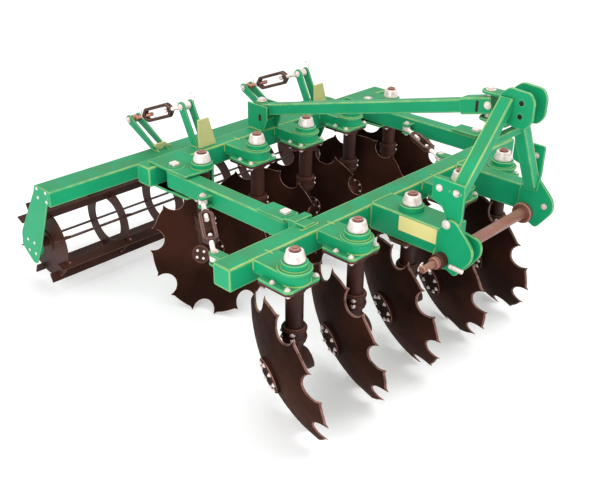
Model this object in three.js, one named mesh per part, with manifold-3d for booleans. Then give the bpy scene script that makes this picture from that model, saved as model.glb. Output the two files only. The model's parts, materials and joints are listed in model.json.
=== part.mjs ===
// Offset disc harrow for a three-point linkage: two rows of notched discs on
// single columns, a parallelogram frame with side adjusters, and a slatted cage
// roller behind. Millimetres, x forward, y to the machine's left, z up. The plan
// origin is the axis of the front row's third column.
import * as THREE from 'three';
import { mergeVertices } from 'three/addons/utils/BufferGeometryUtils.js';
import Module from 'manifold-3d';

const wasm = await Module();
wasm.setup();

// ---------------------------------------------------------------- dimensions
const GAP = 0.3;                 // between faces that touch
const SWING_GAP = 6;             // between a swinging beam and its fork plates
const PIN_CLEARANCE = 0.6;       // radial, round a pin that turns
const OPEN_CLEARANCE = 3;        // radial, at the pivots where a linkage is opened
const GROUND = -64;              // ground height; the frame's heights start above it

// discs
const DISC_DIAMETER = 660;
const DISC_DEPTH = 76;
const DISC_THICKNESS = 6;
const NOTCH_COUNT = 8;
const NOTCH_RADIUS = 58;
const HUB_PLATE_RADIUS = 78;
const HUB_PLATE_THICKNESS = 13;
const SPINDLE_RADIUS = 42;
const SPINDLE_LENGTH = 22;
const HUB_HOUSING_RADIUS = 46;
const HUB_HOUSING_LENGTH = 150;

// the two rows: side is +1 where the discs' concave face looks left; attack and
// tilt in degrees; the convex apex lies behind and aside of its column's axis;
// turn is how far each disc stands round its own axle, in degrees
const PITCH = 360;
const ROWS = {
  front: {
    side: 1, x: 0, firstY: -720, attack: 21, tilt: 14, behind: 41, aside: 91, turn: [25, 33, 17, 43, 26],
  },
  rear: {
    side: -1, x: -1000, firstY: -330, attack: 25, tilt: 15.5, behind: 25, aside: 80, turn: [44, 20, 32, 11, 27],
  },
};

// frame beams
const BEAM = 100;
const WALL = 6;
const BEAM_BOTTOM = 600;
const FRONT_REACH = 165;         // column axis to the beam's near face
const REAR_REACH = 180;
const FRONT_BEAM_Y = [-900, 1110];
const REAR_BEAM_Y = [-510, 1300];
const PLATE = 12;                // flange, fork and ear plates

// columns
const COLUMN_RADIUS = 36;
const COLUMN_BOTTOM = 392;
const COLUMN_FOOT_RADIUS = 48;
const BORE_CLEARANCE = 0.6;      // radial, column in its housing
const HOUSING_RADIUS = 62;
const FLANGE_HALF = 92;          // half the width of a column's flange
const FLANGE_FRONT = 57;         // its front edge from the column's axis
const FLANGE_TAIL = 112;
const FLANGE_CORNER = 16;
const FLANGE_TOP = 655;          // where the column hangs from its bracket
const CAP_RADIUS = [45, 34];     // foot and top of the conical cap
const CAP_HEIGHT = 44;
const CAP_NUT_RADIUS = 20;
const RING_RADIUS = 52;
const RING_HEIGHT = 38;
const COLLAR_RADIUS = 70;        // round plate under the ring

// parallelogram
const SIDE_BEAM_WIDTH = 80;
const SIDE_BEAM_Y = [-420, 1020];
const PIN_REACH = 82;            // swing pin from the main beam's face
const PIN_RADIUS = 15;
const PIN_HEAD_RADIUS = 26;
const FORK_HALF = 50;

// turnbuckles
const EYE_RADIUS = 21;
const SCREW_RADIUS = 11;
const EYE_PIN_RADIUS = 9;
const ADJUSTER_Z = 650;
const ADJUSTER_EAR_REACH = 42;

// hitch
const HITCH_ARM_Y = [0, 610];    // centres of the two lower arms
const ARM_HALF = [75, 40];
const ARM_FRONT = 245;
const ARM_WALL = 8;
const HITCH_PIN = [234, 591];    // x, z of the lower cross bar
const LUG_THICKNESS = 15;
const LUG_BACK = 196;
const CROSS_BAR_RADIUS = 26;
const LINK_PIN_RADIUS = 15;
const CENTRE_Y = 290;            // mast, top link and brace

// mast: each leg's centre line ends at a height and a place across the machine
const MAST = {
  legs: [
    { foot: { y: -63, z: 873 }, head: { y: 240, z: 1202 } },
    { foot: { y: 543, z: 743 }, head: { y: 344, z: 1120 } },
  ],
  legX: 258, legWidth: 60, legDepth: 46, footPlate: 12,
  earHalfGap: 42, earThickness: 14, holeX: 322, holes: [1203, 1147], holeRadius: 13,
  strutZ: 1050, strutSize: 34, tongueUp: 50, tongueDown: 54,
};
const BRACE_PIN_RADIUS = 13;
const BRACE_FRONT = [145, 1147];
const BRACE_REAR = [-1234, 798];

// cage roller and its frame
const ROLLER_RADIUS = 220;
const ROLLER_X = -1750;
const ROLLER_HUNG = 64;          // its lowest slats above the ground
const ROLLER_Y = [-880, 1200];   // outer faces of the end arms
const ROLLER_RINGS = 6;
const ROLLER_SLATS = 8;
const RING_OUTER = 196;
const RING_HOLE = 122;
const RING_THICKNESS = 8;
const RING_INSET = 44;           // the end rings from the slats' ends
const SLAT_HALF = 4;
const SLAT_WIDTH = 52;
const AXLE_RADIUS = 25;
const ARM_PLATE = 12;
const ROLLER_BEAM = { x0: -1640, x1: -1500, z0: 505, z1: 585 };
const ROLLER_HINGE = [-1350, 612];
const HINGE_PIN_RADIUS = 12;
const LINK_Y = [-135, 715];      // the two roller turnbuckles
const LINK_FRONT = [-1345, 888];
const LINK_REAR = [-1812, 704];

const SIDES = 12;                // of a round piece
const FINE_SIDES = 24;

// ------------------------------------------------------------------ finishes
const GREEN = { color: 0x1b9b69, metalness: 0.1, roughness: 0.4 };
const BROWN = { color: 0x3a221c, metalness: 0.4, roughness: 0.45 };
const DISC_STEEL = { color: 0x2a1a16, metalness: 0.5, roughness: 0.45 };
const ZINC = { color: 0xd9cdc8, metalness: 0.6, roughness: 0.35 };
const COPPER_BROWN = { color: 0x9a6657, metalness: 0.4, roughness: 0.4 };
const CREAM = { color: 0xe6dfa0, metalness: 0, roughness: 0.5 };

// -------------------------------------------------------------------- solids
function solid(geometry) {
  const bare = geometry.clone();
  bare.deleteAttribute('normal');
  bare.deleteAttribute('uv');
  const merged = mergeVertices(bare, 1e-4);
  const position = merged.attributes.position;
  const corners = Array.from(merged.index.array);
  const faces = [];
  const [p, q, r] = [new THREE.Vector3(), new THREE.Vector3(), new THREE.Vector3()];
  let volume = 0;
  for (let i = 0; i < corners.length; i += 3) {
    const [a, b, c] = corners.slice(i, i + 3);
    if (a !== b && b !== c && c !== a) {
      faces.push([a, b, c]);
      p.fromBufferAttribute(position, a);
      q.fromBufferAttribute(position, b);
      r.fromBufferAttribute(position, c);
      volume += p.dot(q.cross(r));
    }
  }
  const outward = volume < 0 ? faces.map(([a, b, c]) => [b, a, c]) : faces;
  return new wasm.Manifold(new wasm.Mesh({
    numProp: 3,
    vertProperties: Float32Array.from(position.array),
    triVerts: Uint32Array.from(outward.flat()),
  }));
}

function toGeometry(body) {
  const mesh = body.getMesh();
  const geometry = new THREE.BufferGeometry();
  geometry.setAttribute('position', new THREE.BufferAttribute(Float32Array.from(mesh.vertProperties), 3));
  geometry.setIndex(new THREE.BufferAttribute(Uint32Array.from(mesh.triVerts), 1));
  geometry.computeVertexNormals();
  return geometry;
}

const join = (...bodies) => bodies.flat(Infinity).reduce((sum, body) => sum.add(body));
const cut = (body, ...tools) => tools.flat(Infinity).reduce((rest, tool) => rest.subtract(tool), body);
const radians = THREE.MathUtils.degToRad;

function boxGeometry(x0, x1, y0, y1, z0, z1) {
  const geometry = new THREE.BoxGeometry(x1 - x0, y1 - y0, z1 - z0);
  geometry.translate((x0 + x1) / 2, (y0 + y1) / 2, (z0 + z1) / 2);
  return geometry;
}

const box = (...sides) => solid(boxGeometry(...sides));

// a cylinder or cone between two points
function rod(radius, from, to, segments = SIDES, radiusTo = radius) {
  const a = new THREE.Vector3(...from);
  const b = new THREE.Vector3(...to);
  const along = b.clone().sub(a);
  const geometry = new THREE.CylinderGeometry(radiusTo, radius, along.length(), segments);
  geometry.applyQuaternion(new THREE.Quaternion().setFromUnitVectors(
    new THREE.Vector3(0, 1, 0), along.clone().normalize()));
  geometry.translate(...a.add(b).multiplyScalar(0.5).toArray());
  return solid(geometry);
}

const upright = (radius, x, y, z0, z1, ...rest) => rod(radius, [x, y, z0], [x, y, z1], ...rest);
const across = (radius, x, z, y0, y1, ...rest) => rod(radius, [x, y0, z], [x, y1, z], ...rest);

// a square bar between two points: wide near x, deep across it
function strut(from, to, wide, deep) {
  const a = new THREE.Vector3(...from);
  const b = new THREE.Vector3(...to);
  const along = b.clone().sub(a);
  const geometry = new THREE.BoxGeometry(wide, deep, along.length());
  const z = along.clone().normalize();
  const y = new THREE.Vector3().crossVectors(z, new THREE.Vector3(1, 0, 0)).normalize();
  const x = new THREE.Vector3().crossVectors(y, z);
  geometry.applyMatrix4(new THREE.Matrix4().makeBasis(x, y, z));
  geometry.translate(...a.add(b).multiplyScalar(0.5).toArray());
  return solid(geometry);
}

// plates from an outline in plan (x, y), from the side (x, z) or from the front (y, z)
function extrude(points, depth) {
  const shape = new THREE.Shape(points.map(([u, v]) => new THREE.Vector2(u, v)));
  return new THREE.ExtrudeGeometry(shape, { depth, bevelEnabled: false });
}

function slabZ(points, z0, z1) {
  const geometry = extrude(points, z1 - z0);
  geometry.translate(0, 0, z0);
  return solid(geometry);
}

function slabY(points, a, b) {
  const geometry = extrude(points, Math.abs(b - a));
  geometry.rotateX(Math.PI / 2);
  geometry.translate(0, Math.max(a, b), 0);
  return solid(geometry);
}

function slabX(points, x0, x1) {
  const geometry = extrude(points, x1 - x0);
  geometry.applyMatrix4(new THREE.Matrix4().makeBasis(
    new THREE.Vector3(0, 1, 0), new THREE.Vector3(0, 0, 1), new THREE.Vector3(1, 0, 0)));
  geometry.translate(x0, 0, 0);
  return solid(geometry);
}

function arc(cx, cy, radius, fromDeg, toDeg, steps = 6) {
  return Array.from({ length: steps + 1 }, (_, i) => {
    const t = radians(fromDeg + (toDeg - fromDeg) * i / steps);
    return [cx + radius * Math.cos(t), cy + radius * Math.sin(t)];
  });
}

// a pair of upright ear plates either side of y, a pin between them
function ears(points, y, halfGap, thickness) {
  return [-1, 1].map((s) => slabY(points, y + s * halfGap, y + s * (halfGap + thickness)));
}

// ------------------------------------------------------------ derived places
const beamTop = BEAM_BOTTOM + BEAM;
const plateTop = beamTop + PLATE;
const plateBottom = BEAM_BOTTOM - PLATE;
const ringTop = beamTop + RING_HEIGHT;
const frontFace = -FRONT_REACH;
const frontBack = frontFace - BEAM;
const rearFace = ROWS.rear.x - REAR_REACH;
const rearBack = rearFace - BEAM;
const pinX = { front: frontBack - PIN_REACH, rear: rearFace + PIN_REACH };
const rowColumns = (row) => row.turn.map((_, i) => [row.x, row.firstY + PITCH * i]);
const frontColumns = rowColumns(ROWS.front);
const rearColumns = rowColumns(ROWS.rear);
const ARM_COLUMN = frontColumns.findIndex(([, y]) => y === HITCH_ARM_Y[0]);

function discAxis({ side, attack, tilt }) {
  const [a, t] = [radians(attack), radians(tilt)];
  return new THREE.Vector3(Math.sin(a) * Math.cos(t), side * Math.cos(a) * Math.cos(t), Math.sin(t));
}

// the convex apex, at the height that puts the rim's lowest point on the ground
function discApex({ side, tilt, behind, aside }) {
  const height = DISC_DIAMETER / 2 * Math.cos(radians(tilt)) - DISC_DEPTH * Math.sin(radians(tilt));
  return new THREE.Vector3(-behind, -side * aside, GROUND + height);
}

// side adjusters: a is the pin on the side beam, b the pin behind the front beam
const adjusterA = (i) => SIDE_BEAM_Y[i] - SIDE_BEAM_WIDTH / 2 - ADJUSTER_EAR_REACH;
const ADJUSTER = {
  right: { a: [-795, adjusterA(0)], b: [frontBack - 85, -815], z: ADJUSTER_Z },
  left: { a: [-745, adjusterA(1)], b: [frontBack - 80, 700], z: ADJUSTER_Z },
};

// the axle stands over two neighbouring slats
const rollerAxle = [ROLLER_X, GROUND + ROLLER_HUNG + ROLLER_RADIUS * Math.cos(Math.PI / ROLLER_SLATS)
  + SLAT_HALF * Math.sin(Math.PI / ROLLER_SLATS)];

// -------------------------------------------------------------------- discs
// a notched dish on z, its convex apex at the origin and its hollow towards +z
function buildDisc() {
  const R = DISC_DIAMETER / 2;
  const sphere = (R ** 2 + DISC_DEPTH ** 2) / (2 * DISC_DEPTH);
  const outer = (r) => sphere - Math.sqrt(sphere ** 2 - r ** 2);
  const inner = (r) => sphere - Math.sqrt((sphere - DISC_THICKNESS) ** 2 - r ** 2);
  const spindleEnd = DISC_THICKNESS + SPINDLE_LENGTH;
  const middle = (HUB_PLATE_RADIUS + R) / 2;
  const profile = [
    [0, -HUB_PLATE_THICKNESS], [HUB_PLATE_RADIUS, -HUB_PLATE_THICKNESS],
    ...[HUB_PLATE_RADIUS, middle, R].map((r) => [r, outer(r)]),
    ...[R, middle, SPINDLE_RADIUS].map((r) => [r, inner(r)]),
    [SPINDLE_RADIUS, spindleEnd], [0, spindleEnd],
  ].map(([r, z]) => new THREE.Vector2(r, z));
  const lathe = new THREE.LatheGeometry(profile, FINE_SIDES);
  lathe.rotateX(Math.PI / 2);
  const notches = Array.from({ length: NOTCH_COUNT }, (_, i) => {
    const t = 2 * Math.PI * i / NOTCH_COUNT;
    const [x, y] = [R * Math.cos(t), R * Math.sin(t)];
    return upright(NOTCH_RADIUS, x, y, 0, DISC_DEPTH + 40, 8);
  });
  return cut(solid(lathe), notches);
}

// -------------------------------------------------------------------- columns
// flange plate round a column, its tail towards -x: halves are its half widths
// towards -y and at the tail
function flangeOutline(x, y, grow, { right = FLANGE_HALF, tail = FLANGE_HALF } = {}) {
  const [front, corner] = [x + FLANGE_FRONT + grow, FLANGE_CORNER];
  const [low, high] = [y - right - grow, y + FLANGE_HALF + grow];
  const [back, shoulder] = [x - FLANGE_TAIL, x - FLANGE_FRONT / 2];
  return [[back, Math.max(low, y - tail)], [shoulder, low], [front - corner, low], [front, low + corner],
    [front, high - corner], [front - corner, high], [shoulder, high], [back, Math.min(high, y + tail)]];
}

function buildColumn(row, flangeZ, halves) {
  const axis = discAxis(row);
  const apex = discApex(row);
  const at = (s) => apex.clone().addScaledVector(axis, s).toArray();
  const hubFace = DISC_THICKNESS + SPINDLE_LENGTH + GAP;
  const [, hubY, hubZ] = at(hubFace + HUB_HOUSING_LENGTH / 2);
  const flangeTop = flangeZ - PLATE - GAP;
  const capTop = ringTop + GAP + CAP_HEIGHT;
  return join(
    upright(COLUMN_RADIUS, 0, 0, COLUMN_BOTTOM, capTop - CAP_HEIGHT / 2),
    upright(CAP_RADIUS[0], 0, 0, ringTop + GAP, capTop, SIDES, CAP_RADIUS[1]),
    upright(CAP_NUT_RADIUS, 0, 0, capTop - 4, capTop + 14, 6),
    slabZ(flangeOutline(0, 0, 0, halves), flangeTop - PLATE, flangeTop),
    upright(COLUMN_FOOT_RADIUS, 0, 0, COLUMN_BOTTOM - 10, COLUMN_BOTTOM + 62),
    slabX([[hubY - 34, hubZ], [hubY + 34, hubZ],
      [38, COLUMN_BOTTOM + 20], [-38, COLUMN_BOTTOM + 20]], -30, 30),
    rod(HUB_HOUSING_RADIUS, at(hubFace), at(hubFace + HUB_HOUSING_LENGTH)),
  );
}

const columnBore = (x, y) => upright(COLUMN_RADIUS + BORE_CLEARANCE, x, y, plateBottom - 5, ringTop + 5);
const columnRing = (x, y) => upright(RING_RADIUS, x, y, beamTop - 1, ringTop);

// the housing that carries a column in front of its beam
function buildBracket(x, y, reach) {
  const side = [y - HOUSING_RADIUS, y + HOUSING_RADIUS];
  const block = [[x - reach, side[0]], ...arc(x, y, HOUSING_RADIUS, -90, 90), [x - reach, side[1]]];
  return cut(join(
    slabZ(block, FLANGE_TOP - PLATE + 1, beamTop + 2),
    upright(COLLAR_RADIUS, x, y, beamTop, plateTop),
    columnRing(x, y),
    slabZ(flangeOutline(x, y, 2), FLANGE_TOP - PLATE, FLANGE_TOP),
  ), columnBore(x, y));
}

// -------------------------------------------------------------------- beams
function squareTube(x0, x1, y0, y1) {
  return cut(box(x0, x1, y0, y1, BEAM_BOTTOM, beamTop),
    box(x0 + WALL, x1 - WALL, y0 - 1, y1 + 1, BEAM_BOTTOM + WALL, beamTop - WALL));
}

// fork plates over and under the beam, with the upright swing pin between them
function fork(x0, pin, y) {
  const end = pin < x0 ? arc(pin, y, FORK_HALF, 90, 270) : arc(pin, y, FORK_HALF, -90, 90);
  const s = pin < x0 ? -1 : 1;
  const outline = [[x0, y + s * FORK_HALF], [x0, y - s * FORK_HALF], ...end];
  return [
    slabZ(outline, beamTop - 0.01, plateTop),
    slabZ(outline, plateBottom, BEAM_BOTTOM + 0.01),
    upright(PIN_RADIUS, pin, y, plateBottom - 14, plateTop + 16),
    upright(PIN_HEAD_RADIUS, pin, y, plateTop - 1, plateTop + 18, 4),
  ];
}

// two level ear plates from a face at x or y = base out to an upright eye pin
function levelEars(base, [px, py], along, z) {
  const r = EYE_PIN_RADIUS + 15;
  const outline = along === 'y'
    ? [[px + r, base], [px - r, base], ...arc(px, py, r, 180, 360)]
    : [[base, py - r], [base, py + r], ...arc(px, py, r, 90, 270)];
  return [
    slabZ(outline, z + 18, z + 28),
    slabZ(outline, z - 28, z - 18),
    upright(EYE_PIN_RADIUS, px, py, z - 36, z + 36, 10),
  ];
}

function buildFrontBeam() {
  // the third column's housing belongs to the right hitch arm
  const housed = frontColumns.filter((_, i) => i !== ARM_COLUMN);
  // a flange beside a hitch arm stops at the arm's face
  const armSeats = HITCH_ARM_Y.map((y, i) => box(frontFace, ARM_FRONT,
    y - ARM_HALF[i] - GAP, y + ARM_HALF[i] + GAP, plateBottom - 1, plateTop + 1));
  return cut(join(
    squareTube(frontBack, frontFace, ...FRONT_BEAM_Y),
    housed.map(([x, y]) => buildBracket(x, y, FRONT_REACH)),
    SIDE_BEAM_Y.map((y) => fork(frontBack + 60, pinX.front, y)),
    Object.values(ADJUSTER).map(({ b, z }) => levelEars(frontBack + 1, b, 'x', z)),
  ), armSeats);
}

// plates that carry a corner column beside the swing pin, clear of the side beam
function buildCorner(pinY, [x, y]) {
  const s = Math.sign(y - pinY);
  const back = rearFace - 60;
  const outline = [[back, pinY - s * FORK_HALF], [x + 40, pinY - s * 46], [x + 52, y],
    [x + 30, y + s * 54], [x - 20, y + s * HOUSING_RADIUS], [back, y + s * HOUSING_RADIUS]];
  const web = [y + s * 44, y + s * 56].sort((a, b) => a - b);
  return cut(join(
    slabZ(outline, beamTop - 0.01, plateTop),
    slabZ(outline, plateBottom, BEAM_BOTTOM + 0.01),
    box(rearFace - 1, x + 20, ...web, BEAM_BOTTOM - 1, beamTop + 1),
    columnRing(x, y),
  ), columnBore(x, y));
}

// ears, web and pin that hold a roller turnbuckle above a beam's top at z
function linkEars([fx, fz], y, z, foot, webX, webTop) {
  const outline = [[foot[0], z], [foot[1], z], ...arc(fx, fz, 26, ...foot.slice(2))];
  return [
    ears(outline, y, 25, 10),
    slabX([[y - 35, z], [y + 78, z], [y + 34, webTop], [y - 35, webTop]], webX, webX + 10),
    across(EYE_PIN_RADIUS, fx, fz, y - 48, y + 48, 10),
  ];
}

function buildRearBeam() {
  const [hx, hz] = ROLLER_HINGE;
  const hinge = [[rearBack + 1, BEAM_BOTTOM + 4], [rearBack + 1, beamTop - 14], ...arc(hx, hz, 28, 100, 270)];
  const blockX = [rearBack + 2, rearFace - 10];
  const [bx, bz] = BRACE_REAR;
  return join(
    squareTube(rearBack, rearFace, ...REAR_BEAM_Y),
    rearColumns.slice(1, -1).map(([x, y]) => buildBracket(x, y, REAR_REACH)),
    SIDE_BEAM_Y.map((y, i) => [fork(rearFace - 60, pinX.rear, y), buildCorner(y, rearColumns.at(-i))]),
    LINK_Y.map((y) => [
      linkEars(LINK_FRONT, y, beamTop - 0.01, [rearBack + 5, rearFace - 25, 20, 190], -1262, 850),
      ears(hinge, y, 42, 12),
      across(HINGE_PIN_RADIUS, hx, hz, y - 62, y + 62, 10),
    ]),
    // block and upright pin for the brace
    box(...blockX, CENTRE_Y - 50, CENTRE_Y + 50, beamTop - 0.01, bz - 46),
    upright(BRACE_PIN_RADIUS, bx, CENTRE_Y, bz - 48, bz + 70, 10),
    upright(BRACE_PIN_RADIUS + 9, bx, CENTRE_Y, bz + 48, bz + 64, 6),
  );
}

function buildSideBeam(index) {
  const y = SIDE_BEAM_Y[index];
  const half = SIDE_BEAM_WIDTH / 2;
  const [z0, z1] = [BEAM_BOTTOM + SWING_GAP, beamTop - SWING_GAP];
  const { a, z } = index === 0 ? ADJUSTER.right : ADJUSTER.left;
  const rearClearance = index === 0 ? PIN_CLEARANCE : OPEN_CLEARANCE;
  const outline = [...arc(pinX.front, y, half, -90, 90), ...arc(pinX.rear, y, half, 90, 270)];
  const body = cut(slabZ(outline, z0, z1),
    box(pinX.rear + 70, pinX.front - 70, y - half + WALL, y + half - WALL, z0 + WALL, z1 - WALL),
    box(pinX.rear + 200, pinX.rear + 260, y - 20, y + 20, z0 - 1, z0 + WALL + 1),
    upright(PIN_RADIUS + PIN_CLEARANCE, pinX.front, y, z0 - 1, z1 + 1),
    upright(PIN_RADIUS + rearClearance, pinX.rear, y, z0 - 1, z1 + 1));
  return join(body, levelEars(y - half + 1, a, 'y', z));
}

// -------------------------------------------------------------- turnbuckles
// along +x from the hinge eye at 0 to the screw's free eye at length
const barrelSpan = (length) => [0.26 * length, 0.78 * length];

function buildBarrel(length, thick) {
  const [body0, body1] = barrelSpan(length);
  const [bar, half, end] = [9, 34, 30];
  return cut(join(
    upright(EYE_RADIUS, 0, 0, -thick / 2, thick / 2),
    rod(SCREW_RADIUS, [14, 0, 0], [body0 + end + 14, 0, 0]),
    box(body0, body0 + end, -half, half, -16, 10),
    box(body1 - end, body1, -half, half, -16, 10),
    box(body0, body1, -half, -half + 2 * bar, -13, 13),
    box(body0, body1, half - 2 * bar, half, -13, 13),
  ),
  upright(EYE_PIN_RADIUS + PIN_CLEARANCE, 0, 0, -40, 40, 10),
  rod(SCREW_RADIUS + GAP, [body1 - end - 1, 0, 0], [body1 + 1, 0, 0]));
}

function buildScrew(length, thick) {
  const [, body1] = barrelSpan(length);
  return cut(join(
    upright(EYE_RADIUS, length, 0, -thick / 2, thick / 2),
    rod(SCREW_RADIUS, [body1 - 74, 0, 0], [length - 14, 0, 0]),
  ), upright(EYE_PIN_RADIUS + OPEN_CLEARANCE, length, 0, -40, 40, 10));
}

// -------------------------------------------------------------- hitch, mast
// hook-shaped lug: its bore low at the back, its nose ahead, its crown bolted to the mast
function lugOutline(crown) {
  const [px, pz] = HITCH_PIN;
  return [[LUG_BACK, plateBottom + 4], ...arc(px, pz, 46, 215, 300, 4), [px + 66, pz - 62], [px + 104, pz - 10],
    [px + 138, pz + 36], [px + 140, pz + 76], [px + 124, pz + 106], [px + 46, crown], [px + 8, crown],
    [LUG_BACK, plateTop - 4]];
}

function buildHitchArm(index) {
  const y = HITCH_ARM_Y[index];
  const half = ARM_HALF[index];
  const x0 = frontFace + GAP;
  const outerSign = index === 0 ? -1 : 1;
  const crown = HITCH_PIN[1] + 184;
  const outer = [y + outerSign * half, y + outerSign * (half + LUG_THICKNESS)];
  // the wide right arm carries its second lug inside, the narrow left one on its other face
  const inner = index === 0
    ? [y - half + 50, y - half + 50 + LUG_THICKNESS] : [y - half - LUG_THICKNESS, y - half];
  const tube = [y - half + ARM_WALL, y + half - ARM_WALL, plateBottom + ARM_WALL, plateTop - ARM_WALL];
  const bores = [across(CROSS_BAR_RADIUS + BORE_CLEARANCE, ...HITCH_PIN, y - 200, y + 200)];
  const [px, pz] = HITCH_PIN;
  const boss = [[LUG_BACK, plateBottom + 4], ...arc(px, pz, 54, -120, 60), [px - 6, plateTop - 4],
    [LUG_BACK, plateTop - 4]];
  const parts = [
    cut(box(x0, ARM_FRONT, y - half, y + half, plateBottom, plateTop),
      box(80, ARM_FRONT + 1, ...tube)),
    slabY(index === 0 ? lugOutline(crown) : boss, ...outer),
    slabY(lugOutline(index === 0 ? plateTop - 4 : crown), ...inner),
  ];
  if (index === 0) {
    parts.push(columnRing(0, 0));
    bores.push(columnBore(0, 0));
  } else {
    bores.push(box(x0 + ARM_WALL, 100, ...tube));
  }
  return cut(join(parts), bores);
}

function buildCrossBar() {
  const [x, z] = HITCH_PIN;
  const near = HITCH_ARM_Y[0] - ARM_HALF[0] - LUG_THICKNESS;
  const far = HITCH_ARM_Y[1] - ARM_HALF[1] - LUG_THICKNESS;
  const left = HITCH_ARM_Y[1] + ARM_HALF[1] + LUG_THICKNESS;
  return join(
    across(CROSS_BAR_RADIUS, x, z, near - 60, left + 65),
    across(34, x, z, near - 38, near - GAP),
    across(50, x, z, far - 24, far - GAP),
    across(LINK_PIN_RADIUS, x, z, near - 135, near - 59, 10),
    across(LINK_PIN_RADIUS, x, z, left + 64, left + 125, 10),
  );
}

function buildMast() {
  const { legs, legX, legWidth, legDepth, footPlate, earHalfGap, earThickness, strutZ, strutSize } = MAST;
  const footZ = plateTop + GAP;
  const footOutline = [[145, 832], [196, 815], [225, 772], [225, footZ], [290, footZ],
    [299, 800], [299, 930], [145, 932]];
  const earOutline = [[232, 1115], [300, 1097], [352, 1099], [380, 1135],
    [380, 1218], [358, 1250], [262, 1258], [222, 1226]];
  // foot plates stand just inside the right arm's outer lug and the left arm's inner one
  const footFaces = [HITCH_ARM_Y[0] - ARM_HALF[0] + GAP,
    HITCH_ARM_Y[1] - ARM_HALF[1] - LUG_THICKNESS - GAP];
  const crossEnds = legs.map(({ foot, head }) => [legX,
    foot.y + (head.y - foot.y) * (strutZ - foot.z) / (head.z - foot.z), strutZ]);
  const [px, pz] = BRACE_FRONT;
  const [earNear, earFar] = [CENTRE_Y - earHalfGap, CENTRE_Y + earHalfGap];
  // the legs stop at the foot plates' outer faces and at the ears' inner ones
  const beyondLegs = [[footFaces[0] - 100, footFaces[0]], [earNear, earFar], [footFaces[1], footFaces[1] + 100]]
    .map(([y0, y1]) => box(legX - legWidth, legX + legWidth, y0, y1, plateBottom, MAST.holes[0] + BEAM));
  const tongue = [[legX - 8, CENTRE_Y + 36], ...arc(px, CENTRE_Y, 36, 90, 270), [legX - 8, CENTRE_Y - 36]];
  const [upper, lower] = [pz + MAST.tongueUp, pz - MAST.tongueDown];
  return cut(join(
    legs.map(({ foot, head }) => cut(
      strut([legX, foot.y, foot.z], [legX, head.y, head.z], legWidth, legDepth), beyondLegs)),
    footFaces.map((y, i) => slabY(footOutline, y, y + (i === 0 ? footPlate : -footPlate))),
    ears(earOutline, CENTRE_Y, earHalfGap, earThickness),
    box(legX - 22, legX, earNear - 4, earFar + 4, lower - PLATE, upper + PLATE),
    strut(...crossEnds, strutSize, strutSize),
    slabZ(tongue, lower - PLATE, lower),
    slabZ(tongue, upper, upper + PLATE),
    upright(BRACE_PIN_RADIUS, px, CENTRE_Y, lower - PLATE, upper + PLATE, 10),
    upright(BRACE_PIN_RADIUS + 9, px, CENTRE_Y, upper + PLATE - 1, upper + PLATE + 11, 6),
  ), MAST.holes.map((z) => across(MAST.holeRadius, MAST.holeX, z, CENTRE_Y - 90, CENTRE_Y + 90, 10)));
}

function buildBrace() {
  const [fx, fz] = BRACE_FRONT;
  const [rx, rz] = BRACE_REAR;
  const y = CENTRE_Y;
  const on = (x) => [x, y, fz + (fz - rz) / (fx - rx) * (x - fx)];
  return cut(join(
    cut(strut(on(fx - 20), on(rx + 60), 60, 58), strut(on(fx - 132), on(rx + 66), 48, 46)),
    strut(on(fx + 31), on(fx - 120), 74, 72),
    strut(on(rx + 90), on(rx + 24), 62, 60),
    upright(32, rx, y, rz - 40, rz + 42),
  ),
  upright(BRACE_PIN_RADIUS + PIN_CLEARANCE, fx, y, fz - 80, fz + 80, 10),
  upright(BRACE_PIN_RADIUS + OPEN_CLEARANCE, rx, y, rz - 90, rz + 90, 10),
  // drain hole under the tube
  upright(9, rx + 140, y, rz - 98, rz + 10, 8));
}

// ------------------------------------------------------------------- roller
function buildRollerFrame() {
  const { x0, x1, z0, z1 } = ROLLER_BEAM;
  const [y0, y1] = ROLLER_Y;
  const [ax, az] = rollerAxle;
  const [hx, hz] = ROLLER_HINGE;
  const arm = [[x1, z1 + 4], [x0 + 6, z1 + 4], [x0 - 6, z1 - 30], [ax - 88, az + 60], [ax - 104, az - 24],
    [ax - 12, az - 98], [ax + 24, az - 98], [ax + 96, az + 30]];
  const tongue = [[x1 - 1, z0 + 4], [hx + 20, hz - 22], ...arc(hx, hz, 27, -40, 120), [x1 - 1, z1 - 6]];
  return join(
    cut(box(x0, x1, y0 + 4, y1 - 4, z0, z1),
      box(x0 + WALL, x1 - WALL, y0 + 30, y1 - 30, z0 + WALL, z1 - WALL),
      box(x0 + 50, x0 + 90, CENTRE_Y - 30, CENTRE_Y + 30, z0 - 1, z0 + WALL + 1)),
    [[y0, 1], [y1, -1]].map(([outer, s]) => {
      const inner = outer + s * ARM_PLATE;
      return [slabY(arm, outer, inner), cut(across(58, ax, az, inner - s, inner + s * 26),
        across(AXLE_RADIUS + BORE_CLEARANCE, ax, az, inner - 60, inner + 60))];
    }),
    LINK_Y.map((y) => [
      linkEars(LINK_REAR, y, z1 - 0.01, [x0 + 10, x0 + 84, 60, 230], x0 + 40, z1 + 35),
      cut(slabY(tongue, y - 36, y + 36), across(HINGE_PIN_RADIUS + PIN_CLEARANCE, hx, hz, y - 60, y + 60, 10)),
    ]),
  );
}

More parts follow.
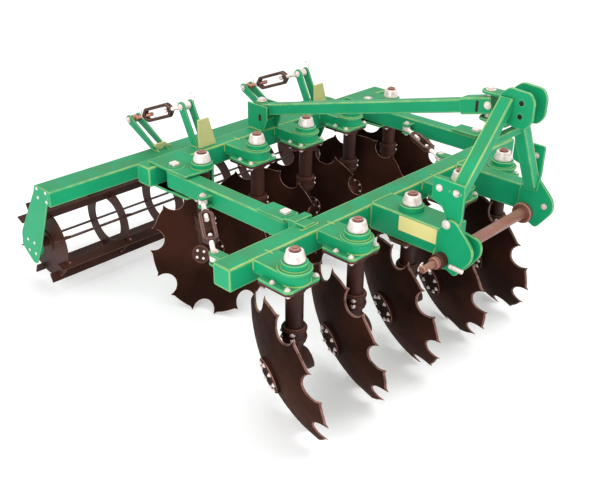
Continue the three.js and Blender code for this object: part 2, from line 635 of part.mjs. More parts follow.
// built round its own axle
function buildRoller() {
  const a = ROLLER_Y[0] + ARM_PLATE + 32;
  const b = ROLLER_Y[1] - ARM_PLATE - 32;
  const rings = Array.from({ length: ROLLER_RINGS }, (_, i) => {
    const y = a + RING_INSET + (b - RING_THICKNESS - a - 2 * RING_INSET) * i / (ROLLER_RINGS - 1);
    const plate = across(RING_OUTER, 0, 0, y, y + RING_THICKNESS, FINE_SIDES);
    const atEnd = i === 0 || i === ROLLER_RINGS - 1;
    return atEnd ? plate : cut(plate, across(RING_HOLE, 0, 0, y - 1, y + RING_THICKNESS + 1));
  });
  const slats = Array.from({ length: ROLLER_SLATS }, (_, i) => {
    const geometry = boxGeometry(ROLLER_RADIUS - SLAT_WIDTH, ROLLER_RADIUS, a + 2, b - 2,
      -SLAT_HALF, SLAT_HALF);
    geometry.rotateY(2 * Math.PI / ROLLER_SLATS * (i + 0.5) + Math.PI / 2);
    return solid(geometry);
  });
  return join(rings, slats, across(AXLE_RADIUS, 0, 0, a - 28, a + RING_INSET + 1),
    across(AXLE_RADIUS, 0, 0, b - RING_INSET - 1, b + 28));
}

// ---------------------------------------------------------------- assembly
const group = new THREE.Group();
group.name = 'disc_harrow';

function place(name, body, look, parent = group) {
  const geometry = body.isBufferGeometry ? body : toGeometry(body);
  const mesh = new THREE.Mesh(geometry, new THREE.MeshStandardMaterial(look));
  mesh.name = name;
  parent.add(mesh);
  return mesh;
}

place('front_beam', buildFrontBeam(), GREEN);
place('rear_beam', buildRearBeam(), GREEN);
place('right_side_beam', buildSideBeam(0), GREEN);
place('left_side_beam', buildSideBeam(1), GREEN);
place('right_hitch_arm', buildHitchArm(0), GREEN);
place('left_hitch_arm', buildHitchArm(1), GREEN);
place('lower_cross_bar', buildCrossBar(), COPPER_BROWN);
place('mast', buildMast(), GREEN);
place('brace', buildBrace(), GREEN);

const plateFace = HITCH_ARM_Y[0] - ARM_HALF[0] - GAP;
place('name_plate', box(-8, LUG_BACK - 6, plateFace - 2, plateFace, 636, 706), CREAM);

const discGeometry = toGeometry(buildDisc());
for (const [name, row] of Object.entries(ROWS)) {
  rowColumns(row).forEach(([x, y], i) => {
    // a column in an arm or beside a swing pin hangs from the plate under it
    const low = row === ROWS.front ? i === ARM_COLUMN : i === 0 || i === row.turn.length - 1;
    const fromArm = y - HITCH_ARM_Y[1] - ARM_HALF[1] - GAP;
    const halves = {};
    if (low) halves.tail = COLUMN_RADIUS;
    if (row === ROWS.front && fromArm > 0) halves.right = Math.min(FLANGE_HALF, fromArm - GAP);
    const columnGeometry = toGeometry(buildColumn(row, low ? BEAM_BOTTOM : FLANGE_TOP, halves));
    const station = new THREE.Group();
    station.position.set(x, y, 0);
    group.add(station);
    place(`${name}_column_${i + 1}`, columnGeometry, BROWN, station);
    const disc = place(`${name}_disc_${i + 1}`, discGeometry, DISC_STEEL, station);
    disc.position.copy(discApex(row));
    // its local x starts straight down the disc's plane
    const axis = discAxis(row);
    const down = new THREE.Vector3(0, 0, -1).addScaledVector(axis, axis.z).normalize();
    disc.quaternion.setFromRotationMatrix(new THREE.Matrix4().makeBasis(
      down, new THREE.Vector3().crossVectors(axis, down), axis));
    disc.rotateZ(radians(row.turn[i]));
  });
}

// a turnbuckle from its hinge eye to its free eye, its pins along pinAxis
function placeTurnbuckle(name, from, to, pinAxis, thick) {
  const along = new THREE.Vector3(...to).sub(new THREE.Vector3(...from));
  const length = along.length();
  const x = along.normalize();
  const z = new THREE.Vector3(...pinAxis);
  const link = new THREE.Group();
  link.position.set(...from);
  link.quaternion.setFromRotationMatrix(new THREE.Matrix4().makeBasis(
    x, new THREE.Vector3().crossVectors(z, x), z));
  group.add(link);
  place(`${name}_body`, buildBarrel(length, thick), BROWN, link);
  place(`${name}_screw`, buildScrew(length, thick), ZINC, link);
}

for (const [side, { a, b, z }] of Object.entries(ADJUSTER)) {
  placeTurnbuckle(`${side}_side_adjuster`, [...b, z], [...a, z], [0, 0, 1], 24);
}
['right', 'left'].forEach((side, i) => {
  const at = ([x, z]) => [x, LINK_Y[i], z];
  placeTurnbuckle(`${side}_roller_link`, at(LINK_FRONT), at(LINK_REAR), [0, 1, 0], 38);
});

place('roller_frame', buildRollerFrame(), GREEN);
const roller = place('cage_roller', buildRoller(), BROWN);
roller.position.set(rollerAxle[0], 0, rollerAxle[1]);

// the part's own frame: the middle of its plan, on the ground
group.updateMatrixWorld(true);
const bounds = new THREE.Box3().setFromObject(group, true);
const middle = bounds.getCenter(new THREE.Vector3());
group.position.set(-middle.x, -middle.y, -bounds.min.z);

export default group;
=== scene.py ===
"""Looks of an offset disc harrow with a cage roller.

Every shape is worked out in millimetres in the harrow's own design frame, whose plan
origin is the axis of the front row's third column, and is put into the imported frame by
one offset. X is forward, Y is the machine's left and Z is up.
"""

from __future__ import annotations

import json
import logging
import math
from dataclasses import dataclass, field
from enum import Enum
from typing import Any

import bmesh
import bpy
import numpy as np
from mathutils import Matrix, Vector

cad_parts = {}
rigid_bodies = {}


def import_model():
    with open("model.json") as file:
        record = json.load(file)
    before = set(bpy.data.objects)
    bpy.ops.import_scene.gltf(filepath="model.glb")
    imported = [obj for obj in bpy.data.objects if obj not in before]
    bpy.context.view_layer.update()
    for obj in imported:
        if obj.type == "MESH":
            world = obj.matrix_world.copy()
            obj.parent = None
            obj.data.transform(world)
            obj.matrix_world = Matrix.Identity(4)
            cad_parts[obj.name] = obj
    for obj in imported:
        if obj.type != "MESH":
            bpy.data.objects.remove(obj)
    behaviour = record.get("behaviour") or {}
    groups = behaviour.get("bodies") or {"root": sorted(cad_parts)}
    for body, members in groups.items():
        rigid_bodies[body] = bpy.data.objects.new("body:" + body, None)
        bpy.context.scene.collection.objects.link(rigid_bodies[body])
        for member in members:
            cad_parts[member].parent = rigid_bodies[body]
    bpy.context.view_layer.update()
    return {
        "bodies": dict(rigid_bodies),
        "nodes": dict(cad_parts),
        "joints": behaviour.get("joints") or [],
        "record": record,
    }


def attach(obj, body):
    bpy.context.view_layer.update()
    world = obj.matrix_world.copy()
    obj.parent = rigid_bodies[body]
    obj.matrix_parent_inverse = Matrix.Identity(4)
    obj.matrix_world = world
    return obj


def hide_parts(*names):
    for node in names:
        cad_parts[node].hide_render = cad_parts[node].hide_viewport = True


log = logging.getLogger("disc_harrow")

Array = np.ndarray
Point = tuple[float, float, float]
Pair = tuple[float, float]
TAU = 2 * math.pi
METRES = 0.001
SHARP_ANGLE = math.radians(42)
CORNER_SINE = 0.35      # sine of the least turn that counts as a rounded corner
RIPPLE = 0.16           # height of a weld bead's ripples, as a share of its radius
RIPPLE_LENGTH = 7.0
BEAD_STEP = 2.4
MITRE_LIMIT = 0.35      # keeps a needle-sharp corner's mitre from running away


# ------------------------------------------------------------------ shader maths
class Socket:
    """A node's output, with the operators that shader expressions use."""

    def __init__(self, kit: "ShaderKit", link: bpy.types.NodeSocket) -> None:
        """Wraps one output.

        Args:
            kit: The material being made.
            link: The output socket.
        """
        self.kit = kit
        self.link = link

    def __add__(self, other: Any) -> "Socket":
        """Sum of two values."""
        return self.kit.maths("ADD", self, other)

    __radd__ = __add__

    def __sub__(self, other: Any) -> "Socket":
        """This value less another."""
        return self.kit.maths("SUBTRACT", self, other)

    def __rsub__(self, other: Any) -> "Socket":
        """Another value less this one."""
        return self.kit.maths("SUBTRACT", other, self)

    def __mul__(self, other: Any) -> "Socket":
        """Product of two values."""
        return self.kit.maths("MULTIPLY", self, other)

    __rmul__ = __mul__

    def clamp(self) -> "Socket":
        """This value kept between 0 and 1."""
        return self.kit.maths("ADD", self, 0.0, use_clamp=True)


class ShaderKit:
    """One material's node tree, made by one method."""

    def __init__(self, name: str) -> None:
        """Starts an empty material.

        Args:
            name: The material's name.
        """
        self.material = bpy.data.materials.new(name)
        self.material.use_nodes = True
        self.tree = self.material.node_tree
        self.tree.nodes.clear()

    def node(self, kind: str, settings: dict[str, Any], values: dict[Any, Any], output: int = 0) -> Socket:
        """Adds a node.

        Args:
            kind: The node's type.
            settings: Its own properties, set first; "ramp" gives a ramp's stops.
            values: A value or a Socket for each input, by index or name.
            output: The output to return.

        Returns:
            The chosen output.
        """
        made = self.tree.nodes.new(kind)
        for key, value in settings.items():
            if key == "ramp":
                self._stops(made.color_ramp, value)
            else:
                setattr(made, key, value)
        for key, value in values.items():
            if isinstance(value, Socket):
                self.tree.links.new(value.link, made.inputs[key])
            else:
                made.inputs[key].default_value = value
        return Socket(self, made.outputs[output]) if made.outputs else Socket(self, None)

    @staticmethod
    def _stops(ramp: bpy.types.ColorRamp, stops: list[Pair]) -> None:
        """Sets a ramp's grey stops, as (position, level) pairs."""
        while len(ramp.elements) < len(stops):
            ramp.elements.new(0.5)
        for element, (position, level) in zip(ramp.elements, stops):
            element.position = position
            element.color = (level, level, level, 1.0)

    def maths(self, operation: str, a: Any, b: Any, use_clamp: bool = False) -> Socket:
        """One Math node on two values."""
        return self.node("ShaderNodeMath", {"operation": operation, "use_clamp": use_clamp}, {0: a, 1: b})

    def place(self) -> Socket:
        """The object's own coordinates, in metres."""
        return self.node("ShaderNodeTexCoord", {}, {}, output=3)

    def noise(self, scale: float, detail: float = 3.0, stretch: Point | None = None) -> Socket:
        """Soft noise from about 0.3 to 0.7.

        Args:
            scale: Features in a metre.
            detail: Finer layers on top.
            stretch: How much each axis counts, if not alike.

        Returns:
            The noise value.
        """
        where = self.place()
        if stretch is not None:
            where = self.node("ShaderNodeMapping", {"vector_type": "POINT"}, {0: where, 3: stretch})
        return self.node("ShaderNodeTexNoise", {}, {"Vector": where, "Scale": scale, "Detail": detail})

    def ramp(self, value: Socket, low: float, high: float) -> Socket:
        """A value stretched so that low becomes 0 and high becomes 1."""
        return self.node("ShaderNodeValToRGB", {"ramp": [(low, 0.0), (high, 1.0)]}, {0: value})

    def mix(self, factor: Any, first: Any, second: Any) -> Socket:
        """Two colours mixed by a factor."""
        return self.node("ShaderNodeMix", {"data_type": "RGBA"}, {0: factor, 6: first, 7: second}, output=2)

    def attribute(self, name: str) -> Socket:
        """A number carried by the mesh."""
        settings = {"attribute_type": "GEOMETRY", "attribute_name": name}
        return self.node("ShaderNodeAttribute", settings, {}, output=2)

    def facing_up(self) -> Socket:
        """The upward part of the surface's own normal."""
        normal = self.node("ShaderNodeTexCoord", {}, {}, output=1)
        return self.node("ShaderNodeSeparateXYZ", {}, {0: normal}, output=2)

    def finish(self, values: dict[str, Any], bump: Socket | None = None,
               depth: float = 0.0) -> bpy.types.Material:
        """Closes the material.

        Args:
            values: Inputs of the surface shader.
            bump: Height of the fine relief, if any.
            depth: The relief's depth in metres.

        Returns:
            The finished material.
        """
        if bump is not None:
            relief = {"Strength": 1.0, "Distance": depth, "Height": bump}
            values["Normal"] = self.node("ShaderNodeBump", {}, relief)
        shader = self.node("ShaderNodeBsdfPrincipled", {}, values)
        self.node("ShaderNodeOutputMaterial", {}, {"Surface": shader})
        return self.material


def rgb(red: int, green: int, blue: int) -> tuple[float, float, float, float]:
    """A display colour of 0 to 255 as linear light."""
    def linear(level: int) -> float:
        c = level / 255
        return c / 12.92 if c <= 0.04045 else ((c + 0.055) / 1.055) ** 2.4
    return linear(red), linear(green), linear(blue), 1.0


# --------------------------------------------------------------------- finishes
@dataclass(frozen=True)
class Paint:
    """Gloss paint over steel, lighter along its edges with wear and a painted highlight, and tinted on top
    by dust and painted light from above.
    """

    name: str
    body: tuple[int, int, int]
    shade: tuple[int, int, int]
    # the edge colour marks rounded edges as wear and a painted highlight; the next colour tints upward
    # faces as dust and painted light
    edge: tuple[int, int, int]
    dust_and_top_light: tuple[int, int, int]
    edge_amount: float = 0.75
    dust_and_top_light_amount: float = 0.35
    roughness: float = 0.4
    coat: float = 0.1
    metallic: float = 0.0
    specular: float = 0.5

    def material(self) -> bpy.types.Material:
        """Cloudy body colour, a pale edge that is partly wear and partly a painted highlight, stronger on
        upper edges, a top tint that is partly dust and partly painted light from above, and orange-peel
        relief.
        """
        kit = ShaderKit(self.name)
        clouds = kit.ramp(kit.noise(3.5, 4.0), 0.35, 0.68)
        colour = kit.mix(clouds, rgb(*self.shade), rgb(*self.body))
        # painted light: faces that look up take a tint that stands for dust and for the light falling on
        # tops
        dusty_lit_tops = (kit.facing_up() * kit.ramp(kit.noise(9.0, 5.0), 0.25, 0.75)).clamp() * self.dust_and_top_light_amount
        colour = kit.mix(dusty_lit_tops, colour, rgb(*self.dust_and_top_light))
        # painted highlight: rounded edges go pale, partly as wear and partly as a highlight, more on edges
        # facing up
        edge_wear_and_highlight = kit.attribute("edge") * (kit.ramp(kit.noise(16.0, 3.0), 0.34, 0.6) * 0.6 + 0.4)
        edge_wear_and_highlight = edge_wear_and_highlight * (kit.facing_up() * 0.35 + 0.6).clamp() * self.edge_amount
        colour = kit.mix(edge_wear_and_highlight.clamp(), colour, rgb(*self.edge))
        rough = kit.noise(14.0, 4.0) * 0.25 + (self.roughness - 0.1)
        return kit.finish({
            "Base Color": colour, "Roughness": rough, "Metallic": self.metallic,
            "Coat Weight": self.coat, "Coat Roughness": 0.2, "Specular IOR Level": self.specular,
        }, bump=kit.noise(240.0, 2.0), depth=0.0004)


@dataclass(frozen=True)
class Metal:
    """Plated steel with faint stains."""

    name: str
    bright: tuple[int, int, int]
    stain: tuple[int, int, int]
    roughness: float = 0.35
    metallic: float = 0.35

    def material(self) -> bpy.types.Material:
        """Bright plating, brown stains in its low spots and a fine cast grain."""
        kit = ShaderKit(self.name)
        stains = kit.ramp(kit.noise(38.0, 5.0), 0.5, 0.72)
        colour = kit.mix(stains, rgb(*self.bright), rgb(*self.stain))
        rough = kit.noise(60.0, 3.0) * 0.3 + (self.roughness - 0.12)
        return kit.finish({
            "Base Color": colour, "Roughness": rough, "Metallic": self.metallic,
        }, bump=kit.noise(320.0, 3.0), depth=0.0005)


@dataclass(frozen=True)
class DiscSteel:
    """Dark painted disc steel with patches of painted sheen and a bright rim that is partly ground steel
    and partly a painted highlight.
    """

    name: str
    body: tuple[int, int, int]
    sheen: tuple[int, int, int]
    rim: tuple[int, int, int]
    roughness: float = 0.6
    specular: float = 0.02

    def material(self) -> bpy.types.Material:
        """Cloudy dark colour between the body and its painted sheen, with the rim, partly ground steel and
        partly a painted highlight, picked out by the edge mask.
        """
        kit = ShaderKit(self.name)
        clouds = kit.ramp(kit.noise(3.0, 4.0), 0.4, 0.66)
        colour = kit.mix(clouds, rgb(*self.body), rgb(*self.sheen))
        # painted highlight: the rim band goes bright, partly as ground steel and partly as light along the
        # rim
        ground_rim_and_highlight = kit.attribute("edge") * (kit.ramp(kit.noise(30.0, 3.0), 0.32, 0.56) * 0.7 + 0.3)
        colour = kit.mix(ground_rim_and_highlight.clamp(), colour, rgb(*self.rim))
        rough = kit.noise(18.0, 5.0) * 0.3 + (self.roughness - 0.14)
        return kit.finish({
            "Base Color": colour, "Roughness": rough, "Specular IOR Level": self.specular,
        }, bump=kit.noise(150.0, 4.0), depth=0.0005)


@dataclass(frozen=True)
class Studio:
    """A white floor that keeps soft shadows."""

    name: str = "studio_floor"

    def material(self) -> bpy.types.Material:
        """Diffuse white under a share of its own light, so that it reads white where it is lit."""
        kit = ShaderKit(self.name)
        return kit.finish({
            "Base Color": (0.86, 0.86, 0.86, 1.0), "Roughness": 1.0, "Specular IOR Level": 0.0,
            "Emission Color": (1.0, 1.0, 1.0, 1.0), "Emission Strength": 0.32,
        })


class Look(Enum):
    """The harrow's finishes, each with the record's slot that it stands for."""

    # Each paint's edge colour is partly wear and partly a painted highlight; its top tint is partly dust
    # and partly painted light from above
    GREEN = ("green_paint", Paint(
        "green_gloss", body=(22, 162, 110), shade=(18, 150, 101), edge=(170, 208, 130), dust_and_top_light=(62, 132, 82),
        edge_amount=0.7, dust_and_top_light_amount=0.95, roughness=0.44, coat=0.03, specular=0.2))
    # pale colour of the welds, also used as the painted highlight on the tubes' front top edges
    WELD = ("green_paint", Paint(
        "weld_and_edge_highlight", body=(176, 196, 116), shade=(104, 168, 98), edge=(196, 212, 140),
        dust_and_top_light=(186, 200, 128), roughness=0.5, coat=0.0, specular=0.3))
    WEB = ("green_paint", Paint(
        "primed_web", body=(206, 202, 140), shade=(190, 188, 122), edge=(216, 220, 160),
        dust_and_top_light=(214, 208, 150), roughness=0.5, coat=0.0, specular=0.3))
    BROWN = ("brown_paint", Paint(
        "brown_primer", body=(76, 42, 33), shade=(48, 26, 21), edge=(146, 96, 82), dust_and_top_light=(88, 53, 44),
        edge_amount=0.45, dust_and_top_light_amount=0.4, roughness=0.5, coat=0.0, specular=0.2))
    LINK = ("brown_paint", Paint(
        "link_primer", body=(62, 37, 31), shade=(36, 20, 17), edge=(170, 124, 110), dust_and_top_light=(96, 62, 54),
        edge_amount=0.55, dust_and_top_light_amount=0.5, roughness=0.45, coat=0.0, specular=0.22))
    # the disc's rim colour is partly ground steel and partly a painted highlight; its sheen colour is a
    # painted sheen
    DISC = ("disc_steel", DiscSteel(
        "disc_paint", body=(36, 19, 14), sheen=(62, 35, 27), rim=(196, 152, 140)))
    # the hub plate's pale edge colour is a painted rim highlight, partly wear
    HUB = ("disc_steel", Paint(
        "hub_primer", body=(52, 28, 22), shade=(34, 18, 14), edge=(190, 136, 122), dust_and_top_light=(84, 50, 42),
        edge_amount=0.8, dust_and_top_light_amount=0.4, roughness=0.65, coat=0.0, specular=0.02))
    BAR = ("bar_paint", Paint(
        "bar_primer", body=(150, 98, 84), shade=(118, 70, 58), edge=(206, 160, 144), dust_and_top_light=(186, 138, 122),
        dust_and_top_light_amount=0.7, roughness=0.36, coat=0.05, specular=0.5, metallic=0.1))
    ZINC = ("zinc", Metal("zinc_plate", bright=(244, 230, 226), stain=(216, 190, 182)))
    COPPER = ("zinc", Metal("worn_bolt", bright=(190, 132, 112), stain=(130, 80, 66), metallic=0.5))
    CREAM = ("plate_cream", Paint(
        "cream_plate", body=(242, 232, 156), shade=(236, 226, 148), edge=(120, 104, 70),
        dust_and_top_light=(236, 230, 184), edge_amount=0.9, roughness=0.45, coat=0.1))

    @property
    def slot(self) -> str:
        """The record's slot."""
        return self.value[0]

    def material(self) -> bpy.types.Material:
        """The material, made once."""
        made = bpy.data.materials.get(self.value[1].name)
        return made or self.value[1].material()


# ----------------------------------------------------------------------- outlines
@dataclass(frozen=True)
class Outline:
    """A closed outline, anticlockwise, with a mask of the steps that lie on a rounded corner."""

    points: Array
    bent: Array

    def inset(self, distance: float) -> Array:
        """Each corner moved along its mitre: both unit normals' sum over one plus their product."""
        before = self.points - np.roll(self.points, 1, axis=0)
        after = np.roll(self.points, -1, axis=0) - self.points
        n1 = np.stack([-before[:, 1], before[:, 0]], axis=1) / np.linalg.norm(before, axis=1)[:, None]
        n2 = np.stack([-after[:, 1], after[:, 0]], axis=1) / np.linalg.norm(after, axis=1)[:, None]
        spread = np.maximum(1 + (n1 * n2).sum(axis=1), MITRE_LIMIT)[:, None]
        return self.points + (n1 + n2) / spread * distance


def anticlockwise(corners: Any) -> Array:
    """The corners as an array, turned so that twice their area, sum(x y' - x' y), is positive."""
    c = np.asarray(corners, float)
    following = np.roll(c, -1, axis=0)
    area = (c[:, 0] * following[:, 1] - following[:, 0] * c[:, 1]).sum()
    return c if area > 0 else c[::-1]


def rounded(corners: Any, radius: float, steps: int = 4) -> Outline:
    """An outline with each corner rounded.

    A corner C becomes the quadratic curve (1-t)^2 A + 2t(1-t) C + t^2 B, where A and B lie
    on its two sides, a radius away or less than half a side.

    Args:
        corners: The corners in order.
        radius: The rounding radius.
        steps: Steps on each corner.

    Returns:
        The rounded outline, turned anticlockwise.
    """
    c = anticlockwise(corners)
    back, ahead = np.roll(c, 1, axis=0) - c, np.roll(c, -1, axis=0) - c
    lengths = [np.linalg.norm(side, axis=1)[:, None] for side in (back, ahead)]
    a, b = (c + side / n * np.minimum(radius, 0.48 * n) for side, n in zip((back, ahead), lengths))
    t = np.linspace(0, 1, steps + 1)[None, :, None]
    curve = (1 - t) ** 2 * a[:, None] + 2 * t * (1 - t) * c[:, None] + t ** 2 * b[:, None]
    into, out = -back / lengths[0], ahead / lengths[1]
    turning = np.abs(into[:, 0] * out[:, 1] - into[:, 1] * out[:, 0])
    sharp = (turning > CORNER_SINE) | ((back * ahead).sum(axis=1) > 0)
    bent = sharp[:, None] & (np.arange(steps + 1) < steps)[None, :]
    return Outline(curve.reshape(-1, 2), bent.reshape(-1))


def smooth(corners: Any) -> Outline:
    """An outline whose points already lie on curves, left as it is."""
    c = anticlockwise(corners)
    return Outline(c, np.zeros(len(c), bool))


def arc(cx: float, cy: float, radius: float, start: float, end: float,
        steps: int = 20) -> list[list[float]]:
    """Points of an arc between two angles in degrees: centre plus radius times (cos t, sin t)."""
    t = np.radians(np.linspace(start, end, steps + 1))
    return np.stack([cx + radius * np.cos(t), cy + radius * np.sin(t)], axis=1).tolist()


def unit(vector: Any) -> Array:
    """A vector of length 1 along the one given."""
    return np.asarray(vector, float) / np.linalg.norm(vector)


def level(points: Any, z: float) -> list[list[float]]:
    """Plan points put at one height."""
    return [[x, y, z] for x, y in points]


def hexagon(radius: float) -> Outline:
    """A hexagon about the origin, by the radius of its corners."""
    return smooth(arc(0, 0, radius, 0, 300, 5))


def rectangle(width: float, height: float) -> list[list[float]]:
    """Corners of a rectangle round the origin."""
    w, h = width / 2, height / 2
    return [[-w, -h], [w, -h], [w, h], [-w, h]]


@dataclass(frozen=True)
class Axes:
    """Where an outline's two directions and its thickness point, from an origin."""

    u: Point
    v: Point
    w: Point
    origin: Point = (0.0, 0.0, 0.0)

    @staticmethod
    def along(start: Any, end: Any, side: Point = (1.0, 0.0, 0.0)) -> "Axes":
        """Axes whose thickness runs from one point to another, with u near a given side."""
        w = unit(np.subtract(end, start))
        v = unit(np.cross(w, side))
        return Axes(tuple(np.cross(v, w)), tuple(v), tuple(w), tuple(start))

    def at(self, *origin: float) -> "Axes":
        """The same directions from another origin."""
        return Axes(self.u, self.v, self.w, origin)

    def solid(self, flat: Array, height: float) -> Array:
        """Points at origin + x u + y v + height w."""
        return (np.asarray(self.origin, float) + flat[:, :1] * np.asarray(self.u, float)
                + flat[:, 1:2] * np.asarray(self.v, float) + height * np.asarray(self.w, float))


PLAN = Axes((1, 0, 0), (0, 1, 0), (0, 0, 1))
SIDE = Axes((1, 0, 0), (0, 0, 1), (0, 1, 0))
FRONT = Axes((0, 1, 0), (0, 0, 1), (1, 0, 0))


# ------------------------------------------------------------------------- forms
class Form:
    """Gathers closed surfaces as arrays, and turns them into one mesh."""

    def __init__(self) -> None:
        """Starts empty."""
        self.points: list[Array] = []
        self.quads: list[Array] = []
        self.caps: list[list[int]] = []
        self.edges: list[Array] = []
        self.count = 0

    def loft(self, rings: Array, flags: Array | None = None, closed: bool = False) -> "Form":
        """Joins rings of points into a closed skin.

        Quad (i, j) has corners (i, j), (i, j+1), (i+1, j+1) and (i+1, j), with j wrapping round.

        Args:
            rings: Points by ring and by place, of shape (k, n, 3).
            flags: Edge mask of each quad, of shape (k-1, n) or (k, n).
            closed: Whether the last ring joins the first, in place of two caps.

        Returns:
            This form.
        """
        k, n = rings.shape[:2]
        rows = k if closed else k - 1
        i = np.arange(rows)[:, None] * n
        ahead = ((np.arange(rows)[:, None] + 1) % k) * n
        j = np.arange(n)[None, :]
        following = (j + 1) % n
        quads = np.stack([i + j, i + following, ahead + following, ahead + j], axis=-1).reshape(-1, 4)
        self.points.append(rings.reshape(-1, 3))
        self.quads.append(quads + self.count)
        self.edges.append(np.zeros(rows * n) if flags is None else np.asarray(flags, float).reshape(-1))
        if not closed:
            first = self.count + np.arange(n)
            self.caps += [first[::-1].tolist(), (first + (k - 1) * n).tolist()]
        self.count += k * n
        return self

    def prism(self, outline: Outline, axes: Axes, low: float, high: float, bevel: float = 2.5) -> "Form":
        """A plate or bar with rounded rims.

        Near each end, at angle t from 0 to 90 degrees, the outline is inset by b(1 - sin t) at a
        height b(1 - cos t) from the end.

        Args:
            outline: The outline in the axes' u and v.
            axes: Where it lies.
            low: Its lower end along w.
            high: Its upper end along w.
            bevel: The rim's radius b.

        Returns:
            This form.
        """
        low, high = min(low, high), max(low, high)
        b = min(bevel, (high - low) * 0.45)
        t = np.radians([0.0, 30.0, 60.0, 90.0])
        inset, rise = b * (1 - np.sin(t)), b * (1 - np.cos(t))
        heights = np.concatenate([low + rise, (high - rise)[::-1]])
        insets = np.concatenate([inset, inset[::-1]])
        rings = np.stack([axes.solid(outline.inset(d), h) for d, h in zip(insets, heights)])
        flags = np.ones((len(heights) - 1, len(outline.points)))
        flags[len(t) - 1] = outline.bent
        return self.loft(rings, flags)

    def hoop(self, outline: Outline, wide: float, thick: float, axes: Axes) -> "Form":
        """A closed frame: a rounded section carried round an outline.

        Each point of the section is an inset of the outline at a height.

        Args:
            outline: The frame's outer outline.
            wide: The section's width in the outline's plane.
            thick: Its thickness across that plane.
            axes: Where the outline lies.

        Returns:
            This form.
        """
        section = rounded(rectangle(wide, thick), min(wide, thick) * 0.35, 4)
        rings = np.stack([axes.solid(outline.inset(a + wide / 2), b) for a, b in section.points])
        flags = np.repeat(section.bent.astype(float)[:, None], len(outline.points), axis=1)
        return self.loft(rings, flags, closed=True)

    def bar(self, start: Any, end: Any, wide: float, deep: float, radius: float = 6.0,
            side: Point = (1.0, 0.0, 0.0)) -> "Form":
        """A square bar between two points: wide towards the side, deep across it."""
        axes = Axes.along(start, end, side)
        length = float(np.linalg.norm(np.subtract(end, start)))
        return self.prism(rounded(rectangle(wide, deep), radius), axes, 0.0, length)

    def block(self, x: Pair, y: Pair, z: Pair, radius: float = 4.0) -> "Form":
        """An upright block between its limits on each axis."""
        corners = [[x[0], y[0]], [x[1], y[0]], [x[1], y[1]], [x[0], y[1]]]
        return self.prism(rounded(corners, radius, 3), PLAN, z[0], z[1], min(radius, 3.0))

    def revolve(self, profile: Any, start: Any, end: Any, sides: int = 32, flags: Any = None,
                closed: bool = False) -> "Form":
        """A turned shape: a profile of (radius, distance) pairs carried round a line.

        Args:
            profile: The profile, in order.
            start: Where distance is 0.
            end: A point further along the axis.
            sides: Steps round the axis.
            flags: Edge mask of each profile step.
            closed: Whether the profile closes on itself, as a ring's does.

        Returns:
            This form.
        """
        shape = np.asarray(profile, float)
        run = np.abs(np.subtract(end, start))
        upright = run[2] >= run[0] + run[1]
        axes = Axes.along(start, end, (1.0, 0.0, 0.0) if upright else (0.0, 0.0, 1.0))
        t = np.arange(sides) / sides * TAU
        circle = np.stack([np.cos(t), np.sin(t)], axis=1)
        rings = np.stack([axes.solid(circle * r, s) for r, s in shape])
        mask = None
        if flags is not None:
            mask = np.repeat(np.asarray(flags, float)[:, None], sides, axis=1)
        return self.loft(rings, mask, closed)

    def rod(self, radius: float, start: Any, end: Any, bevel: float = 2.0, sides: int = 28) -> "Form":
        """A round bar between two points, with chamfered rims."""
        length = float(np.linalg.norm(np.subtract(end, start)))
        b = min(bevel, length * 0.3, radius * 0.4)
        profile = [(radius - b, 0), (radius - 0.3 * b, 0.3 * b), (radius, b), (radius, length - b),
                   (radius - 0.3 * b, length - 0.3 * b), (radius - b, length)]
        return self.revolve(profile, start, end, sides, flags=[1, 1, 0, 1, 1])

    def sleeve(self, inner: float, outer: float, start: Any, end: Any, sides: int = 40,
               bevel: float = 1.5) -> "Form":
        """A tube or flat ring: a rectangular profile carried round the axis and closed on itself."""
        length = float(np.linalg.norm(np.subtract(end, start)))
        b = min(bevel, length * 0.3)
        profile = [(inner, b), (inner + b, 0), (outer - b, 0), (outer, b), (outer, length - b),
                   (outer - b, length), (inner + b, length), (inner, length - b)]
        return self.revolve(profile, start, end, sides, flags=[1, 0, 1, 0, 1, 0, 1, 0], closed=True)

    def thread(self, radius: float, start: Any, end: Any, pitch: float = 5.0, depth: float = 1.2) -> "Form":
        """A threaded rod: the radius at angle t and distance s is R + d sin(2 pi s / p - t)."""
        length = float(np.linalg.norm(np.subtract(end, start)))
        axes = Axes.along(start, end, (0.3, 0.5, 0.8))
        s = np.linspace(0, length, max(int(length / pitch * 6), 4))
        t = np.arange(14) / 14 * TAU
        r = radius - depth + depth * np.sin(TAU * s[:, None] / pitch - t[None, :])
        circle = np.stack([np.cos(t), np.sin(t)], axis=1)
        rings = np.stack([axes.solid(circle * r[i][:, None], s[i]) for i in range(len(s))])
        return self.loft(rings)

    def wire(self, path: Any, radius: float) -> "Form":
        """A round wire: circles of one radius carried along a path, square to its tangent."""
        path = np.asarray(path, float)
        return self._carry(path, np.full(len(path), radius), 8)

    def bead(self, path: Any, radius: float = 3.6, closed: bool = False) -> "Form":
        """A weld bead: a wire of radius R (1 + a sin(2 pi s / p)) for ripples of height a and length p."""
        points = np.asarray(path, float)
        if closed:
            points = np.concatenate([points, points[:1]])
        run = np.concatenate([[0.0], np.cumsum(np.linalg.norm(np.diff(points, axis=0), axis=1))])
        s = np.linspace(0, run[-1], max(int(run[-1] / BEAD_STEP), 4))
        line = np.stack([np.interp(s, run, points[:, axis]) for axis in range(3)], axis=1)
        ripple = radius * (1 + RIPPLE * np.sin(TAU * s / RIPPLE_LENGTH))
        ripple[[0, -1]] *= 0.4
        return self._carry(line, ripple, 7)

